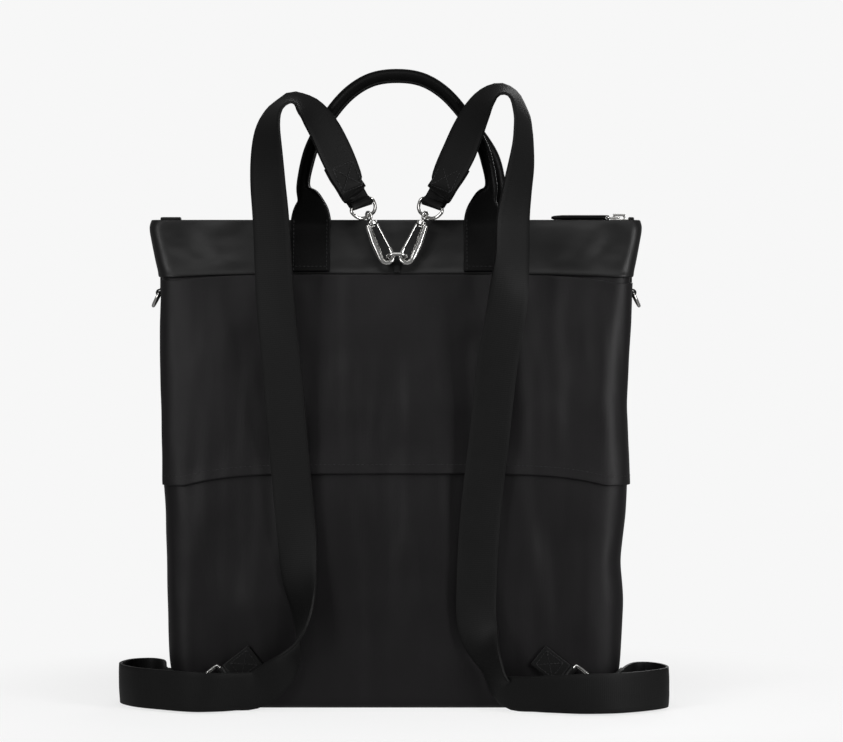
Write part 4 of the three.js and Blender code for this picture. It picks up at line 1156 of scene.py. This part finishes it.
def makeZip():
    for name in ("back", "front"):
        low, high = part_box("zip_tape_" + name)
        low, high = low / mm, high / mm

        def place(u, v):
            ripple = 0.25 * noise.noise(Vector((u * 14, v * 2, 3)))
            return Vector((mix(low.x, high.x, u), mix(low.y, high.y, v), (low.z + high.z) / 2 + ripple))

        tape = clothGrid("zip_tape_cloth_" + name, 80, 6, place, (340, 9))
        useModifier(tape, "SOLIDIFY", thickness=0.8 * mm, offset=0)
        useModifier(tape, "BEVEL", width=0.2 * mm, segments=2, limit_method="ANGLE", angle_limit=math.radians(55))
        shadeSmooth(tape, 50)
        tape.data.materials.append(looks["tape"])
        settle(tape, "zip_tape_" + name)
    low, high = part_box("zip_chain")
    low, high = low / mm, high / mm
    rows = []
    for side in (-1, 1):
        deselect()
        first = low.x + 1.2 + (zipForm["pitch"] / 2 if side > 0 else 0)
        start = Vector((first, side * 0.9, high.z - zipForm["toothThick"] / 2))
        bpy.ops.mesh.primitive_cube_add(size=1, location=start * mm)
        tooth = bpy.context.object
        tooth.scale = (zipForm["toothLong"] * mm, zipForm["toothWide"] * mm, zipForm["toothThick"] * mm)
        bpy.ops.object.transform_apply(location=True, rotation=True, scale=True)
        bpy.ops.object.mode_set(mode="EDIT")
        bpy.ops.mesh.select_all(action="SELECT")
        bpy.ops.mesh.bevel(offset=0.35 * mm, segments=2)
        bpy.ops.object.mode_set(mode="OBJECT")
        useModifier(
            tooth, "ARRAY", count=zipForm["count"], use_relative_offset=False, use_constant_offset=True,
            constant_offset_displace=(zipForm["pitch"] * mm, 0, 0),
        )
        rows.append(tooth)
    deselect()
    bpy.ops.mesh.primitive_grid_add(x_subdivisions=60, y_subdivisions=2, size=1)
    core = bpy.context.object
    for vert in core.data.vertices:
        x, y = mix(low.x, high.x, vert.co.x + 0.5), mix(low.y, high.y, vert.co.y + 0.5)
        vert.co = Vector((x, y, low.z + 0.8)) * mm
    useModifier(core, "SOLIDIFY", thickness=0.9 * mm, offset=0)
    chain = joinPieces("zip_teeth", rows + [core])
    shadeSmooth(chain, 40)
    chain.data.materials.append(looks["teeth"])
    settle(chain, "zip_chain")


makeZip()
print("zip done")

# Seams sewn through the sleeve, the band and the tabs

def seamOn(placeAt, count, lift):
    run = []
    for i in range(count + 1):
        point, ahead = placeAt(i / count)
        run.append((point + ahead * lift, ahead))
    return run


def sleeveSeam(share):
    def at(u):
        point = sleevePlace(u, share)
        spot = sleeveSpot(u)
        return point, Vector((spot[2], spot[3], 0)).normalized()
    return at


hem = {"height": 0.045, "steps": 120, "lift": 0.12, "pitch": 3.4, "thick": 0.5}
hemRun = seamOn(sleeveSeam(hem["height"]), hem["steps"], hem["lift"])
makeStitches("sleeve_hem_stitches", [hemRun], hem["pitch"], hem["thick"])

tabBox = {"back": 15.5, "long": 15, "wide": 13, "sunk": 0.15, "pitch": 2.4}
runs = []
for sign in (-1, 1):
    eye = baseEye(sign)
    flatWay = Vector((baseWay.x, 0, baseWay.z)).normalized()
    face = eye.y + tabRise - 2 * hardware["tabThick"]
    middle = Vector((eye.x, face - tabBox["sunk"], eye.z)) - flatWay * tabBox["back"]
    across = Vector((-flatWay.z, 0, flatWay.x))
    box = stitchBox(middle, flatWay, across, Vector((0, -1, 0)), tabBox["long"], tabBox["wide"])
    runs += [[(Vector((sign * p.x, p.y, p.z)), n) for p, n in run] for run in box]
makeStitches("base_tab_stitches", runs, tabBox["pitch"])
print("seams done")

# Floor, light and camera

stage = {
    "floor": 12, "gap": 0.0002, "white": 0.93, "glow": 0.672, "albedo": 0.34, "near": 0.2, "far": 0.42,
    "ambient": 0.22,
}


# White sweep of painted paper: it glows a little by itself, so that only soft contact shadows
# show, and it turns into the plain backdrop further off
def makeStage():
    deselect()
    bpy.ops.mesh.primitive_plane_add(size=stage["floor"], location=(0, 0, -stage["gap"]))
    floor = bpy.context.object
    floor.name = "studio_floor"
    white = (1, 1, 1, 1)
    grey = (stage["albedo"], stage["albedo"], stage["albedo"], 1)
    material, tree, shader = startMaterial("painted_paper", {
        "Base Color": grey, "Roughness": 0.8, "Specular IOR Level": 0.0, "Emission Color": white,
    })
    seen = addNode(tree, "ShaderNodeLightPath", out="Is Camera Ray")
    glow = addNode(tree, "ShaderNodeMapRange", {"Value": seen, "To Min": stage["ambient"], "To Max": stage["glow"]})
    tree.links.new(glow, shader.inputs["Emission Strength"])
    place = addNode(tree, "ShaderNodeTexCoord", out="Object")
    away = addNode(tree, "ShaderNodeVectorMath", {0: place}, "Value", operation="LENGTH")
    share = addNode(tree, "ShaderNodeMapRange", {
        "Value": away, "From Min": stage["near"], "From Max": stage["far"],
    }, interpolation_type="SMOOTHSTEP")
    shine = addNode(tree, "ShaderNodeMapRange", {"Value": seen, "To Min": stage["ambient"], "To Max": stage["white"]})
    backdrop = addNode(tree, "ShaderNodeEmission", {"Color": white, "Strength": shine})
    mixed = addNode(tree, "ShaderNodeMixShader", {0: share, 1: shader.outputs[0], 2: backdrop})
    output = next(node for node in tree.nodes if node.type == "OUTPUT_MATERIAL")
    tree.links.new(mixed, output.inputs["Surface"])
    floor.data.materials.append(material)


def addLight(name, place, aim, size, power, color=(1, 1, 1)):
    data = bpy.data.lights.new(name, "AREA")
    data.shape = "RECTANGLE"
    data.size, data.size_y = size
    data.energy = power
    data.color = color
    obj = bpy.data.objects.new(name, data)
    bpy.context.scene.collection.objects.link(obj)
    obj.location = place
    obj.rotation_euler = (Vector(aim) - Vector(place)).to_track_quat("-Z", "Y").to_euler()
    return obj


# The backdrop is white where it is looked at, and dimmer as a light, so that black cloth keeps
# its shading from the soft boxes
def makeLights():
    world = bpy.data.worlds.new("studio")
    world.use_nodes = True
    tree = world.node_tree
    tree.nodes.clear()
    seen = addNode(tree, "ShaderNodeLightPath", out="Is Camera Ray")
    strength = addNode(tree, "ShaderNodeMapRange", {
        "Value": seen, "To Min": stage["ambient"], "To Max": stage["white"],
    })
    back = addNode(tree, "ShaderNodeBackground", {"Color": (1, 1, 1, 1), "Strength": strength})
    addNode(tree, "ShaderNodeOutputWorld", {"Surface": back})
    bpy.context.scene.world = world
    addLight("top_light", (0.0, -0.9, 1.7), (0, 0, 0.25), (1.4, 0.8), 8)
    addLight("left_light", (-1.2, -1.6, 0.8), (0, 0, 0.2), (0.5, 1.2), 17)
    addLight("right_light", (1.05, -0.9, 0.42), (0.1, 0, 0.15), (0.35, 1.0), 13)
    addLight("front_light", (0.5, 1.9, 0.9), (0, 0, 0.2), (0.8, 1.0), 9)


def makeCamera():
    data = bpy.data.cameras.new("camera")
    data.sensor_width = 36
    data.lens = 173.8
    obj = bpy.data.objects.new("camera", data)
    bpy.context.scene.collection.objects.link(obj)
    obj.location = (0.018, -3.0, 0.370)
    aim = Vector((0.018, -0.06, 0.2456))
    obj.rotation_euler = (aim - obj.location).to_track_quat("-Z", "Y").to_euler()
    bpy.context.scene.camera = obj


makeStage()
makeLights()
makeCamera()
bpy.context.scene.view_settings.view_transform = "Standard"
